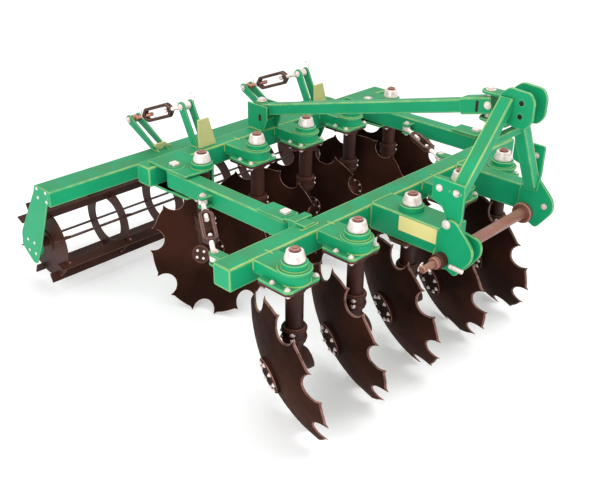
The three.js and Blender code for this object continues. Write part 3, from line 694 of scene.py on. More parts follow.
    def _carry(self, path: Array, radius: Array, sides: int) -> "Form":
        """Circles of given radii carried along a path and joined."""
        tangent = np.gradient(path, axis=0)
        tangent = tangent / np.maximum(np.linalg.norm(tangent, axis=1), 1e-9)[:, None]
        seed = np.array([0.31, 0.24, 0.92])
        across = np.cross(tangent, seed)
        across /= np.linalg.norm(across, axis=1)[:, None]
        other = np.cross(tangent, across)
        t = np.arange(sides) / sides * TAU
        rings = path[:, None] + radius[:, None, None] * (
            np.cos(t)[None, :, None] * across[:, None] + np.sin(t)[None, :, None] * other[:, None])
        return self.loft(rings)

    def bolt(self, at: Any, towards: Any, radius: float = 11.0) -> "Form":
        """A hexagon head on a washer, with its stud's end showing."""
        at, towards = np.asarray(at, float), unit(towards)
        up = 0.62 * radius
        self.rod(radius * 1.3, at, at + towards * 2.5, 0.8, 18)
        side = (0.37, 0.53, 0.21)
        self.prism(hexagon(radius), Axes.along(at, at + towards, side), 2.0, 2.0 + up, 1.6)
        return self.rod(radius * 0.52, at, at + towards * (up + 5.5), 1.0, 12)

    def piece(self, name: str, look: Look, body: str, nodes: tuple[str, ...] = ()) -> bpy.types.Object:
        """Makes the mesh object, dresses it and hands it to the frame.

        Args:
            name: The piece's name.
            look: Its finish.
            body: The body that it rides on.
            nodes: The nodes that it stands for.

        Returns:
            The finished object.
        """
        vertices = np.concatenate(self.points) * METRES + Datum.origin
        quads = np.concatenate(self.quads)
        mesh = bpy.data.meshes.new(name)
        mesh.from_pydata(vertices.tolist(), [], quads.tolist() + self.caps)
        mask = mesh.attributes.new("edge", "FLOAT", "FACE")
        edge_wear_and_highlight = np.concatenate([*self.edges, np.zeros(len(self.caps))])
        mask.data.foreach_set("value", edge_wear_and_highlight.astype(np.float32))
        skin = bmesh.new()
        skin.from_mesh(mesh)
        bmesh.ops.recalc_face_normals(skin, faces=skin.faces)
        skin.to_mesh(mesh)
        skin.free()
        mesh.polygons.foreach_set("use_smooth", np.ones(len(mesh.polygons), bool))
        mesh.set_sharp_from_angle(angle=SHARP_ANGLE)
        made = bpy.data.objects.new(name, mesh)
        bpy.context.scene.collection.objects.link(made)
        mesh.materials.append(look.material())
        weighted = made.modifiers.new("even_normals", "WEIGHTED_NORMAL")
        weighted.keep_sharp = True
        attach(made, body)
        if nodes:
            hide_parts(*nodes)
        log.info("%s: %d faces on %s", name, len(mesh.polygons), body)
        return made


class Datum:
    """The design frame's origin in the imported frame, in metres."""

    origin: Array = np.zeros(3)
    joints: dict[str, dict[str, Any]] = {}

    @classmethod
    def read(cls, frame: dict[str, Any]) -> None:
        """Takes the joints, and the origin from the swing pin whose design place is known."""
        cls.joints = {joint["name"]: joint for joint in frame["joints"]}
        pin = Beams.pin_x[0], Beams.side_y[0], Beams.pin_z
        cls.origin = np.array(cls.joints["frame_shift"]["pos_m"]) - np.array(pin) * METRES

    @classmethod
    def place(cls, joint: str) -> Array:
        """A joint's place in design millimetres."""
        return (np.array(cls.joints[joint]["pos_m"]) - cls.origin) / METRES


# --------------------------------------------------------------------------- discs
@dataclass
class Disc:
    """A notched dished disc with its bolted hub plate, on the axle of its joint."""

    radius: float = 321.0
    depth: float = 71.7
    thickness: float = 6.0
    notches: int = 8
    notch_radius: float = 58.0
    plate_radius: float = 78.0
    plate_thickness: float = 13.0
    spindle_radius: float = 42.0
    spindle: float = 22.0
    bevel: float = 5.0
    lip: float = 1.6
    bolts: int = 8
    turns: dict[str, tuple[float, ...]] = field(default_factory=lambda: {
        "front": (25, 33, 17, 43, 26), "rear": (44, 20, 32, 11, 27)})

    def outline(self) -> Outline:
        """Teeth and notches: arcs of the rim joined by arcs of circles centred on it.

        A notch circle of radius a on a rim of radius R meets the rim 2 asin(a / 2R) from its centre.
        """
        half = 2 * math.asin(self.notch_radius / 2 / self.radius)
        points = []
        for i in range(self.notches):
            middle = TAU * i / self.notches
            following = TAU * (i + 1) / self.notches
            t = np.linspace(-1, 1, 15)
            turn = math.pi / 2 + half / 2
            angles = middle + math.pi + t * -turn
            centre = self.radius * np.array([math.cos(middle), math.sin(middle)])
            notch = centre + self.notch_radius * np.stack([np.cos(angles), np.sin(angles)], axis=1)
            rim = np.linspace(middle + half, following - half, 9)[1:-1]
            points += [notch, self.radius * np.stack([np.cos(rim), np.sin(rim)], axis=1)]
        return smooth(np.concatenate(points))

    def heights(self, flat: Array, inside: bool) -> Array:
        """The dish's height, S - sqrt(S^2 - r^2), with S - t under the root on the hollow face."""
        sphere = (self.radius ** 2 + self.depth ** 2) / (2 * self.depth)
        ball = sphere - self.thickness if inside else sphere
        return sphere - np.sqrt(ball ** 2 - (flat ** 2).sum(axis=1))

    def build(self, row: str, index: int) -> None:
        """Makes one disc, its hub plate and its bolts.

        Args:
            row: "front" or "rear".
            index: Its number in the row, from 1.
        """
        name = f"{row}_disc_{index}"
        joint = Datum.joints[f"{name}_spin"]
        apex = Datum.place(f"{name}_spin")
        axis = np.array(joint["axis"])
        down = unit(np.array([0.0, 0.0, -1.0]) + axis * axis[2])
        turn = math.radians(self.turns[row][index - 1])
        u = math.cos(turn) * down + math.sin(turn) * np.cross(axis, down)
        axes = Axes(tuple(u), tuple(np.cross(axis, u)), tuple(axis), tuple(apex))
        self._dish(axes).piece(f"{name}_dish", Look.DISC, name, (name,))
        self._hub(axes).piece(f"{name}_hub_plate", Look.HUB, name)
        self._bolts(axes).piece(f"{name}_bolts", Look.ZINC, name)

    def _dish(self, axes: Axes) -> Form:
        """The dish: its outline drawn in to a circle, out over the convex face and back inside."""
        rim = self.outline()
        ground_rim_and_highlight = rim.inset(self.bevel)
        angle = np.arctan2(rim.points[:, 1], rim.points[:, 0])
        hub = self.spindle_radius * np.stack([np.cos(angle), np.sin(angle)], axis=1)
        shares = np.linspace(0, 1, 9)
        convex = [hub + (ground_rim_and_highlight - hub) * share for share in shares]
        hollow = [hub + (rim.inset(1.5) - hub) * share for share in shares[::-1]]
        lip = self.heights(rim.points, True)
        rows = [*((flat, self.heights(flat, False)) for flat in convex),
                (rim.points, lip - self.lip), (rim.points, lip),
                *((flat, self.heights(flat, True)) for flat in hollow)]
        # the rim band's faces carry the mask of the bright rim, partly ground steel and partly painted
        # highlight
        flags = [0.0] * (len(convex) - 1) + [0.35, 1.0, 1.0] + [0.0] * len(hollow)
        w = np.asarray(axes.w)
        rings = np.stack([axes.solid(flat, 0.0) + height[:, None] * w for flat, height in rows])
        mask = np.repeat(np.asarray(flags)[:, None], len(rim.points), axis=1)
        return Form().loft(rings, mask, closed=True)

    def _hub(self, axes: Axes) -> Form:
        """The plate on the convex side and the spindle behind it, as one turned profile."""
        start = np.asarray(axes.origin)
        w = np.asarray(axes.w)
        form = Form()
        back = float(self.heights(np.array([[self.plate_radius, 0.0]]), False)[0]) + 1.0
        r, low = self.plate_radius, -self.plate_thickness
        profile = [(22, low + 3), (26, low), (r - 4, low), (r, low + 4), (r, back)]
        form.revolve(profile, start, start + w, 48, flags=[0, 0, 1, 0])
        end = self.thickness + self.spindle
        form.rod(self.spindle_radius + 14, start + w * 7, start + w * 16, 2.0, 36)
        form.rod(self.spindle_radius, start + w * 8, start + w * end, 2.0, 36)
        return form

    def _bolts(self, axes: Axes) -> Form:
        """Eight bolts round the hub plate and their nuts on the hollow face."""
        form = Form()
        w = np.asarray(axes.w)
        for i in range(self.bolts):
            t = TAU * (i + 0.5) / self.bolts
            flat = np.array([[math.cos(t), math.sin(t)]])
            at = axes.solid(flat * (self.plate_radius - 18), -self.plate_thickness)[0]
            form.bolt(at, -w, 7.5)
            behind = axes.solid(flat * (self.spindle_radius + 8), 16.0)[0]
            form.rod(6.0, behind, behind + w * 6, 1.0, 10)
        return form


# ------------------------------------------------------------------------- columns
@dataclass
class Columns:
    """The two rows' columns, with their flanges, caps, hub arms and hub housings."""

    pitch: float = 360.0
    rows: dict[str, Pair] = field(default_factory=lambda: {
        "front": (0.0, -720.0), "rear": (-1000.0, -330.0)})
    radius: float = 36.0
    bottom: float = 392.0
    foot_radius: float = 48.0
    flange_half: float = 92.0
    flange_bolts: Pair = (38.0, -42.0)
    low_flanged: tuple[tuple[str, int], ...] = (("front", 3), ("rear", 1), ("rear", 5))
    beside_arm: tuple[str, int] = ("front", 5)
    flange_top: float = 642.7
    low_flange_top: float = 587.7
    plate: float = 12.0
    ring_top: float = 738.3
    cap_height: float = 44.0
    hub_radius: float = 46.0
    hub_length: float = 150.0
    hub_face: float = 28.3
    arm_face: float = 650.6

    @staticmethod
    def flange(x: float, y: float, grow: float = 0.0, right: float = flange_half,
               tail: float = flange_half) -> Outline:
        """A flange's outline: square ahead of the column, its tail towards -x."""
        front, low, high = x + 57 + grow, y - right - grow, y + Columns.flange_half + grow
        back, shoulder, cut = x - 112, x - 28.5, 16
        return rounded([[back, max(low, y - tail)], [shoulder, low], [front - cut, low], [front, low + cut],
                        [front, high - cut], [front - cut, high], [shoulder, high],
                        [back, min(high, y + tail)]], 12, 4)

    def places(self, row: str) -> list[Pair]:
        """The plan places of a row's columns."""
        x, first = self.rows[row]
        return [(x, first + self.pitch * i) for i in range(5)]

    def build(self) -> None:
        """Makes every column, its cap and its bolts."""
        for row in self.rows:
            for i, (x, y) in enumerate(self.places(row), 1):
                spin = f"{row}_disc_{i}_spin"
                axis = np.array(Datum.joints[spin]["axis"])
                apex = Datum.place(spin)
                name = f"{row}_column_{i}"
                body = f"{row}_frame"
                low = (row, i) in self.low_flanged
                beside_arm = (row, i) == self.beside_arm
                outline = self.flange(x, y, right=y - self.arm_face if beside_arm else self.flange_half,
                                      tail=self.radius if low else self.flange_half)
                top = self.low_flange_top if low else self.flange_top
                post = self._column(x, y, top, outline, apex, axis)
                post.piece(f"{name}_post", Look.BROWN, body, (name,))
                self._cap(x, y).piece(f"{name}_cap", Look.ZINC, body)
                self._nut(x, y).piece(f"{name}_nut", Look.BAR, body)
                bolts = self._bolts(x, y, top, beside_arm, apex, axis)
                bolts.piece(f"{name}_bolts", Look.ZINC, body)

    def _column(self, x: float, y: float, z1: float, outline: Outline, apex: Array, axis: Array) -> Form:
        """Post, flange, clamp foot, hub arm and housing."""
        form = Form()
        z0 = self.bottom
        form.rod(self.radius, (x, y, z0 - 4), (x, y, self.ring_top + 10), 2, 40)
        form.prism(outline, PLAN, z1 - self.plate, z1, 2.5)
        # a collar under the flange and a clamp foot with two lips
        form.rod(self.radius + 9, (x, y, z1 - self.plate - 20), (x, y, z1 - self.plate + 1), 5, 40)
        form.rod(self.foot_radius, (x, y, z0 - 10), (x, y, z0 + 62), 4, 40)
        form.rod(self.foot_radius + 4, (x, y, z0 + 4), (x, y, z0 + 14), 2, 40)
        form.rod(self.foot_radius + 4, (x, y, z0 + 44), (x, y, z0 + 54), 2, 40)
        hub = apex + axis * (self.hub_face + self.hub_length / 2)
        self._arm(form, np.array([x, y, z0 + 24]), hub, axis)
        face = apex + axis * self.hub_face
        back = apex + axis * (self.hub_face + self.hub_length)
        r = self.hub_radius
        end = self.hub_length
        profile = [(r - 8, 0), (r - 2, 2), (r, 6), (r, 24), (r - 5, 30), (r - 5, 116), (r, 122),
                   (r, end - 4), (r - 6, end - 1), (r - 16, end)]
        form.revolve(profile, face, back, 40, flags=[1, 1, 0, 0, 0, 0, 0, 1, 0])
        return form

    @staticmethod
    def _arm(form: Form, top: Array, hub: Array, axis: Array) -> None:
        """The cast arm: rounded sections carried from the clamp foot to the hub.

        A section's half width and depth at share s are the ends' values mixed by 3s^2 - 2s^3, and
        its middle bows back by 6 sin(pi s).
        """
        s = np.linspace(0, 1, 12)
        ease = 3 * s ** 2 - 2 * s ** 3
        bow = np.sin(s * math.pi)
        line = top + (hub - top) * s[:, None] + bow[:, None] * np.array([-6.0, 0.0, 0.0])
        along = unit(hub - top)
        u = unit(axis - along * (axis @ along))
        v = np.cross(along, u)
        base = rounded(rectangle(2, 2), 0.8, 4).points
        wide = 40 + 6 * ease
        deep = 36 - 6 * ease - 6 * bow
        rings = (line[:, None] + base[None, :, :1] * wide[:, None, None] * u
                 + base[None, :, 1:] * deep[:, None, None] * v)
        form.loft(rings)

    def _cap(self, x: float, y: float) -> Form:
        """The conical cap over the housing's ring: a turned profile with a recessed crown."""
        z = self.ring_top
        h = self.cap_height
        profile = [(37, 0), (41, 1), (42.5, 5), (42, 13), (35.5, h - 8), (34, h - 2), (30.5, h), (25, h),
                   (23, h - 5), (0.5, h - 5)]
        return Form().revolve(profile, (x, y, z), (x, y, z + h), 48)

    def _nut(self, x: float, y: float) -> Form:
        """The crown nut in the cap and its stud."""
        z = self.ring_top + self.cap_height - 7
        form = Form().prism(hexagon(22), PLAN.at(x, y, z), 0, 17, 2)
        return form.rod(10, (x, y, z), (x, y, z + 21), 1.5, 20)

    def _bolts(self, x: float, y: float, top: float, beside_arm: bool, apex: Array,
               axis: Array) -> Form:
        """Flange nuts from below, two clamp bolts on the foot and four on the hub's end."""
        form = Form()
        z = top - self.plate
        for dx in self.flange_bolts:
            for dy in (-74, 74):
                if not (beside_arm and dy < 0):
                    form.bolt((x + dx, y + dy, z), (0, 0, -1), 10)
        side = 1.0 if axis[1] > 0 else -1.0
        for height in (16, 46):
            for ahead in (0.55, -0.55):
                at = (x + self.foot_radius * ahead, y - side * (self.foot_radius - 2) * 0.8,
                      self.bottom + height - 4)
                form.bolt(at, (ahead, -side * 0.83, 0), 9.0)
        back = apex + axis * (self.hub_face + self.hub_length - 1)
        u = unit(np.cross(axis, (0, 0, 1.0)))
        v = np.cross(axis, u)
        for i in range(4):
            t = TAU * (i + 0.5) / 4
            form.bolt(back + 24 * (math.cos(t) * u + math.sin(t) * v), axis, 5.5)
        return form


# --------------------------------------------------------------------------- beams
@dataclass
class Beams:
    """The two main beams and the two side beams that link them."""

    pin_x: Pair = (-347.0, -1098.0)
    side_y: Pair = (-420.0, 1020.0)
    pin_z: float = 650.0
    bottom: float = 600.0
    top: float = 700.0
    plate: float = 12.0
    front_x: Pair = (-265.0, -165.0)
    rear_x: Pair = (-1280.0, -1180.0)
    front_y: Pair = (-900.0, 1110.0)
    rear_y: Pair = (-510.0, 1300.0)
    housing: float = 62.0
    collar: float = 70.0
    flange_top: float = 655.0
    ring_top: float = 738.0
    fork_half: float = 50.0
    centre_y: float = 290.0
    link_y: Pair = (-135.0, 715.0)
    link_front: Pair = (-1345.0, 888.0)
    link_rear: Pair = (-1812.0, 704.0)
    hinge: Pair = (-1350.0, 612.0)
    brace_rear: Pair = (-1234.0, 798.0)
    adjuster_ends: tuple[Pair, ...] = ((-350.0, -815.0), (-345.0, 700.0))
    adjuster_side: Pair = (-795.0, -745.0)
    adjuster_z: float = 650.0
    adjuster_out: float = 82.0

    def build(self, columns: Columns) -> None:
        """Makes the beams, their brackets, forks, welds and bolts.

        Args:
            columns: The columns that the brackets carry.
        """
        self._front(columns)
        self._rear(columns)
        for index, name in enumerate(("right_side_beam", "left_side_beam")):
            self._side(index, name)

    def _tube(self, form: Form, beads: Form, x: Pair, y: Pair) -> None:
        """A square tube along y with a cap plate welded in each end."""
        axes = SIDE.at((x[0] + x[1]) / 2, 0, (self.bottom + self.top) / 2)
        wide = x[1] - x[0]
        form.prism(rounded(rectangle(wide, wide), 9), axes, y[0] + 3, y[1] - 3, 2)
        cap = rounded(rectangle(wide - 14, wide - 14), 7)
        for end, out in ((y[0], 1), (y[1], -1)):
            form.prism(cap, axes, end, end + out * 6, 1.5)
            ring = axes.solid(rounded(rectangle(wide - 12, wide - 12), 8).points, end + out * 3)
            beads.bead(ring, 2.6, closed=True)

    def _edge_highlight_bead(self, beads: Form, x: float, y: Pair) -> None:
        """A pale bead over a tube's front top edge: a painted highlight of the rounded edge, made like a
        weld.
        """
        beads.bead([[x - 3.6, y[0] + 4, self.top - 3.4], [x - 3.6, y[1] - 4, self.top - 3.4]], 3.4)

    def _bracket(self, form: Form, beads: Form, x: float, y: float, face: float,
                 right: float = Columns.flange_half) -> None:
        """A column's round housing, its ring and its flange, welded to the beam's face."""
        r = self.housing
        nose = rounded([[face, y - r], *arc(x, y, r, -90, 90, 26), [face, y + r]], 2, 2)
        form.prism(nose, PLAN, self.flange_top - 10, self.top + 2, 4)
        form.rod(self.collar, (x, y, self.top + 1), (x, y, self.top + self.plate), 4, 48)
        form.sleeve(38, 53, (x, y, self.top + 10), (x, y, self.ring_top), 44, 3)
        form.prism(Columns.flange(x, y, 2, right), PLAN, self.flange_top - self.plate, self.flange_top, 3)
        for edge in (y - r + 1, y + r - 1):
            beads.bead([[face + 2, edge, self.flange_top + 2], [face + 2, edge, self.top - 4]], 4)
        beads.bead(level(arc(x, y, r + 1, -88, 88, 30), self.flange_top + 1), 3.0)
        beads.bead(level(arc(x, y, 54, 0, 350, 40), self.top + self.plate + 1), 2.4, closed=True)
        beads.bead([[face + 1, y - r + 4, self.top + 1], [face + 1, y + r - 4, self.top + 1]], 3.4)
        beads.bead([[face - 24, y + 26, self.top + 1], [face + 22, y + 26, self.top + 3]], 3.6)

    def _flange_bolts(self, bolts: Form, x: float, y: float, beside_arm: bool = False) -> None:
        """Bolt heads on top of a bracket's flange."""
        for dx in Columns.flange_bolts:
            for dy in (-78, 78):
                if not (beside_arm and dy < 0):
                    bolts.bolt((x + dx, y + dy, self.flange_top), (0, 0, 1), 10)

    def _fork(self, form: Form, beads: Form, pins: Form, x0: float, pin: float, y: float) -> None:
        """Two fork plates over and under a side beam's end, and their swing pin."""
        sign = -1 if pin < x0 else 1
        half = self.fork_half
        first = 90 if sign < 0 else -90
        turn = arc(pin, y, half, first, first + 180, 20)
        outline = rounded([[x0, y + sign * half], [x0, y - sign * half], *turn], 3, 2)
        upper = outline
        if sign < 0:
            # a long plate over the beam's end, joined to the main beam by a tongue
            upper = rounded([[x0, y - 32], [x0, y + 32], [pin + 30, y + 34], [pin + 30, y + half],
                             [pin - 128, y + half], [pin - 128, y - half], [pin + 30, y - half],
                             [pin + 30, y - 34]], 7, 3)
        form.prism(upper, PLAN, self.top, self.top + self.plate, 3)
        form.prism(outline, PLAN, self.bottom - self.plate, self.bottom, 3)
        top = self.top + self.plate
        form.rod(30, (pin, y, top - 1), (pin, y, top + 4), 1.5, 32)
        pins.rod(15, (pin, y, self.bottom - 26), (pin, y, top + 8), 1.5, 24)
        pins.prism(rounded(rectangle(38, 38), 5), PLAN.at(pin, y, top + 4), 0, 15, 3)
        pins.rod(22, (pin, y, self.bottom - 20), (pin, y, self.bottom - 12), 1.5, 24)
        for side in (-1, 1):
            run = y + side * (half + 1)
            beads.bead(level([(x0 + sign * 12, run), (x0, run)], self.top + 1), 3.2)
        beads.bead(level([(x0 - sign, y - half), (x0 - sign, y + half)], self.top + 1), 3.6)

    def _ears(self, form: Form, pins: Form, base: float, eye: Pair, along: str) -> None:
        """Two level ears from a face out to an upright eye pin."""
        px, py = eye
        r = 24.0
        if along == "y":
            corners = [[px + r, base], [px - r, base], *arc(px, py, r, 180, 360, 16)]
        else:
            corners = [[base, py - r], [base, py + r], *arc(px, py, r, 90, 270, 16)]
        outline = rounded(corners, 2, 2)
        z = self.adjuster_z
        form.prism(outline, PLAN, z + 18, z + 28, 2)
        form.prism(outline, PLAN, z - 28, z - 18, 2)
        pins.rod(9, (px, py, z - 38), (px, py, z + 36), 1.5, 20)
        pins.bolt((px, py, z + 28), (0, 0, 1), 12)
        pins.rod(15, (px, py, z - 32), (px, py, z - 28), 1, 20)

    def _front(self, columns: Columns) -> None:
        """The front beam."""
        form, beads, bolts = Form(), Form(), Form()
        self._tube(form, beads, self.front_x, self.front_y)
        for i, (x, y) in enumerate(columns.places("front"), 1):
            if ("front", i) in columns.low_flanged:
                continue
            beside_arm = ("front", i) == columns.beside_arm
            right = y - columns.arm_face - 2 if beside_arm else columns.flange_half
            self._bracket(form, beads, x, y, self.front_x[1], right)
            self._flange_bolts(bolts, x, y, beside_arm)
        for y in self.side_y:
            self._fork(form, beads, bolts, self.front_x[0] + 60, self.pin_x[0], y)
            # a stop block between the swing pin and the beam
            form.block((self.front_x[0] - 34, self.front_x[0] + 8), (y - 36, y + 68),
                       (self.top - 30, self.top + 17), 4)
        for eye in self.adjuster_ends:
            self._ears(form, bolts, self.front_x[0] + 1, eye, "x")
        self._edge_highlight_bead(beads, self.front_x[1], self.front_y)
        form.piece("front_beam_steel", Look.GREEN, "front_frame", ("front_beam",))
        beads.piece("front_beam_welds", Look.WELD, "front_frame")
        bolts.piece("front_beam_bolts", Look.ZINC, "front_frame")

    def _corner(self, form: Form, beads: Form, pin_y: float, x: float, y: float) -> None:
        """Plates that carry a corner column beside the swing pin."""
        s = 1 if y > pin_y else -1
        back = self.rear_x[1] - 60
        outline = rounded([[back, pin_y - s * self.fork_half], [x + 40, pin_y - s * 46], [x + 52, y],
                           [x + 30, y + s * 54], [x - 20, y + s * self.housing],
                           [back, y + s * self.housing]], 14, 5)
        form.prism(outline, PLAN, self.top, self.top + self.plate - 0.8, 3)
        form.prism(outline, PLAN, self.bottom - self.plate + 0.8, self.bottom, 3)
        web = sorted([y + s * 44, y + s * 56])
        form.block((self.rear_x[1] - 1, x + 20), (web[0], web[1]), (self.bottom - 1, self.top + 1), 3)
        form.sleeve(38, 52, (x, y, self.top + 1), (x, y, self.ring_top), 44, 3)
        seam = self.rear_x[1] - 58
        beads.bead(level([(seam, pin_y - s * 50), (seam, y + s * 60)], self.top + 1), 3.4)
        beads.bead(level(arc(x, y, 54, 0, 350, 40), self.top + self.plate + 1), 2.6, closed=True)

    @staticmethod
    def link_ears(form: Form, beads: Form, webs: Form, pins: Form, eye: Pair, y: float, z: float,
                  foot: Pair, turn: Pair, web: Pair) -> None:
        """Leaning ears with a pale web between them, which carry a roller link's eye pin.

        Args:
            form: Takes the ears.
            beads: Takes the welds along their feet.
            webs: Takes the web.
            pins: Takes the pin, its bolt and its linchpin.
            eye: The pin's x and z.
            y: The link's own plane.
            z: The face that the ears stand on.
            foot: Where an ear's foot starts and ends along x.
            turn: Angles between which an ear goes round the eye.
            web: The web's x and its upper end's z.
        """
        fx, fz = eye
        outline = rounded([[foot[0], z], [foot[1], z], *arc(fx, fz, 26, turn[0], turn[1], 18)], 3, 2)
        for s in (-1, 1):
            form.prism(outline, SIDE, y + s * 25, y + s * 35, 2)
            beads.bead([[foot[0] + 4, y + s * 36, z + 2], [foot[1] - 4, y + s * 36, z + 2]], 3.2)
        plate = rounded([[y - 35, z], [y + 78, z], [y + 34, web[1]], [y - 35, web[1]]], 4, 3)
        webs.prism(plate, FRONT, web[0], web[0] + 10, 2)
        pins.rod(9, (fx, y - 48, fz), (fx, y + 48, fz), 1.5, 20)
        pins.bolt((fx, y - 36, fz), (0, -1, 0), 13)
        pins.rod(16, (fx, y + 35, fz), (fx, y + 40, fz), 1, 20)
        # a linchpin's tall loop over the pin's far end
        loop = arc(fx, fz + 46, 15, -30, 210, 18)
        wire = [(fx + 4, fz + 4), *loop, (fx - 4, fz + 4)]
        pins.wire([[px, y + 44, pz] for px, pz in wire], 2.2)

    def _rear(self, columns: Columns) -> None:
        """The rear beam."""
        form, beads, bolts, webs, dark = Form(), Form(), Form(), Form(), Form()
        self._tube(form, beads, self.rear_x, self.rear_y)
        self._edge_highlight_bead(beads, self.rear_x[1], self.rear_y)
        places = columns.places("rear")
        for x, y in places[1:-1]:
            self._bracket(form, beads, x, y, self.rear_x[1])
            self._flange_bolts(bolts, x, y)
        for pin_y, (x, y) in zip(self.side_y, (places[0], places[-1])):
            self._fork(form, beads, bolts, self.rear_x[1] - 60, self.pin_x[1], pin_y)
            self._corner(form, beads, pin_y, x, y)
        back = self.rear_x[0]
        for y in self.link_y:
            self.link_ears(form, beads, webs, bolts, self.link_front, y, self.top, (back + 2, back + 56),
                           (20, 190), (back + 58, 850))
            hx, hz = self.hinge
            outline = rounded([[back + 1, self.bottom + 4], [back + 1, self.top - 14],
                               *arc(hx, hz, 28, 100, 270, 18)], 3, 2)
            for s in (-1, 1):
                form.prism(outline, SIDE, y + s * 42, y + s * 54, 2)
            bolts.rod(12, (hx, y - 62, hz), (hx, y + 62, hz), 1.5, 20)
            bolts.bolt((hx, y - 54, hz), (0, -1, 0), 14)
        bx, bz = self.brace_rear
        cy = self.centre_y
        form.block((back + 2, self.rear_x[1] - 10), (cy - 50, cy + 50), (self.top - 2, bz - 46), 5)
        beads.bead([[back + 2, cy - 57, self.top + 2], [self.rear_x[1] - 2, cy - 57, self.top + 2]], 3.4)
        cheek = rounded([[back - 8, self.top - 1], [back + 112, self.top - 1], [back + 140, self.top + 66],
                         [back + 140, bz + 42], [back - 8, bz + 42]], 8, 4)
        for s in (-1, 1):
            form.prism(cheek, SIDE, cy + s * 46, cy + s * 56, 3)
        # a dark patch of painted shadow on the cheek's outer face, where its slot runs through
        slot = rounded([[back + 78, bz - 44], [back + 98, bz - 44], [back + 98, bz - 8],
                        [back + 78, bz - 8]], 7, 4)
        dark.prism(slot, SIDE, cy - 56.6, cy - 55, 0.3)
        bolts.rod(13, (bx, cy, bz - 48), (bx, cy, bz + 50), 1.5, 20)
        bolts.bolt((bx, cy, bz + 46), (0, 0, 1), 20)
        bolts.bolt((back + 78, cy + 74, self.top), (0, 0, 1), 13)
        webs.piece("rear_beam_webs", Look.WEB, "rear_frame")
        dark.piece("rear_beam_slot_shadow", Look.BROWN, "rear_frame")
        form.piece("rear_beam_steel", Look.GREEN, "rear_frame", ("rear_beam",))
        beads.piece("rear_beam_welds", Look.WELD, "rear_frame")
        bolts.piece("rear_beam_bolts", Look.ZINC, "rear_frame")

    def _side(self, index: int, name: str) -> None:
        """One side beam with round ends and the ears of its adjuster."""
        form, bolts = Form(), Form()
        y = self.side_y[index]
        outline = smooth([*arc(self.pin_x[0], y, 40, -90, 90, 22),
                          *arc(self.pin_x[1], y, 40, 90, 270, 22)])
        form.prism(outline, PLAN, self.bottom + 6, self.top - 6, 7)
        self._ears(form, bolts, y - 39, (self.adjuster_side[index], y - self.adjuster_out), "y")
        form.piece(f"{name}_steel", Look.GREEN, name, (name,))
        bolts.piece(f"{name}_bolts", Look.ZINC, name)


# --------------------------------------------------------------------- turnbuckles
@dataclass
class Turnbuckles:
    """The side adjusters and the roller's links, each a two-bar body on a threaded eye."""

    eye_radius: float = 21.0
    screw_radius: float = 11.0
    beams: Beams = field(default_factory=Beams)

    def build(self) -> None:
        """Makes all four."""
        b = self.beams
        for index, side in enumerate(("right", "left")):
            start = (*b.adjuster_ends[index], b.adjuster_z)
            end = (b.adjuster_side[index], b.side_y[index] - b.adjuster_out, b.adjuster_z)
            self._one(f"{side}_side_adjuster", start, end, (0, 0, 1), 24)
            front = (b.link_front[0], b.link_y[index], b.link_front[1])
            rear = (b.link_rear[0], b.link_y[index], b.link_rear[1])
            self._one(f"{side}_roller_link", front, rear, (0, 1, 0), 38)

    def _one(self, name: str, start: Point, end: Point, pin: Point, thick: float) -> None:
        """One turnbuckle from its hinge eye to its free eye."""
        run = np.subtract(end, start)
        length = float(np.linalg.norm(run))
        x = run / length
        z = np.asarray(pin, float)
        y = np.cross(z, x)
        first, last = 0.26 * length, 0.78 * length

        def at(along: float, across: float = 0.0, up: float = 0.0) -> Array:
            return np.asarray(start, float) + x * along + y * across + z * up

        body, eyes, screw = Form(), Form(), Form()
        stout = thick > 30
        half, slope, bar = (39.0, 30.0, 18.0) if stout else (33.0, 26.0, 15.0)
        frame = Axes(tuple(x), tuple(y), tuple(z), tuple(start))
        octagon = [[first, -15], [first + slope, -half], [last - slope, -half], [last, -15],
                   [last, 15], [last - slope, half], [first + slope, half], [first, 15]]
        body.hoop(rounded(octagon, 9, 4), bar, bar + 12, frame)
        for end_at in (first - 3, last - 26):
            body.rod(18, at(end_at), at(end_at + 29), 4, 28)
        eyes.rod(20 if stout else 17, at(15), at(58 if stout else 38), 4, 28)
        eyes.sleeve(9.8, self.eye_radius, at(0, 0, -thick / 2), at(0, 0, thick / 2), 32, 3)
        eyes.thread(self.screw_radius, at(16), at(first + 62))
        eyes.rod(self.screw_radius + 2, at(14), at(34), 3, 20)
        screw.sleeve(12.2, self.eye_radius, at(length, 0, -thick / 2), at(length, 0, thick / 2), 32, 3)
        screw.thread(self.screw_radius, at(last - 74), at(length - 16))
        screw.rod(self.screw_radius + 2, at(length - 34), at(length - 15), 3, 20)
        # a lock nut that stays against the body while the screw runs through it
        eyes.prism(hexagon(18), Axes.along(at(last + 3), at(last + 14), tuple(z)), 0, 11, 2)
        body.piece(f"{name}_body_bars", Look.LINK, f"{name}_body", (f"{name}_body",))
        eyes.piece(f"{name}_body_eye", Look.ZINC, f"{name}_body")
        screw_look = Look.COPPER if stout else Look.ZINC
        screw.piece(f"{name}_screw_rod", screw_look, f"{name}_screw", (f"{name}_screw",))


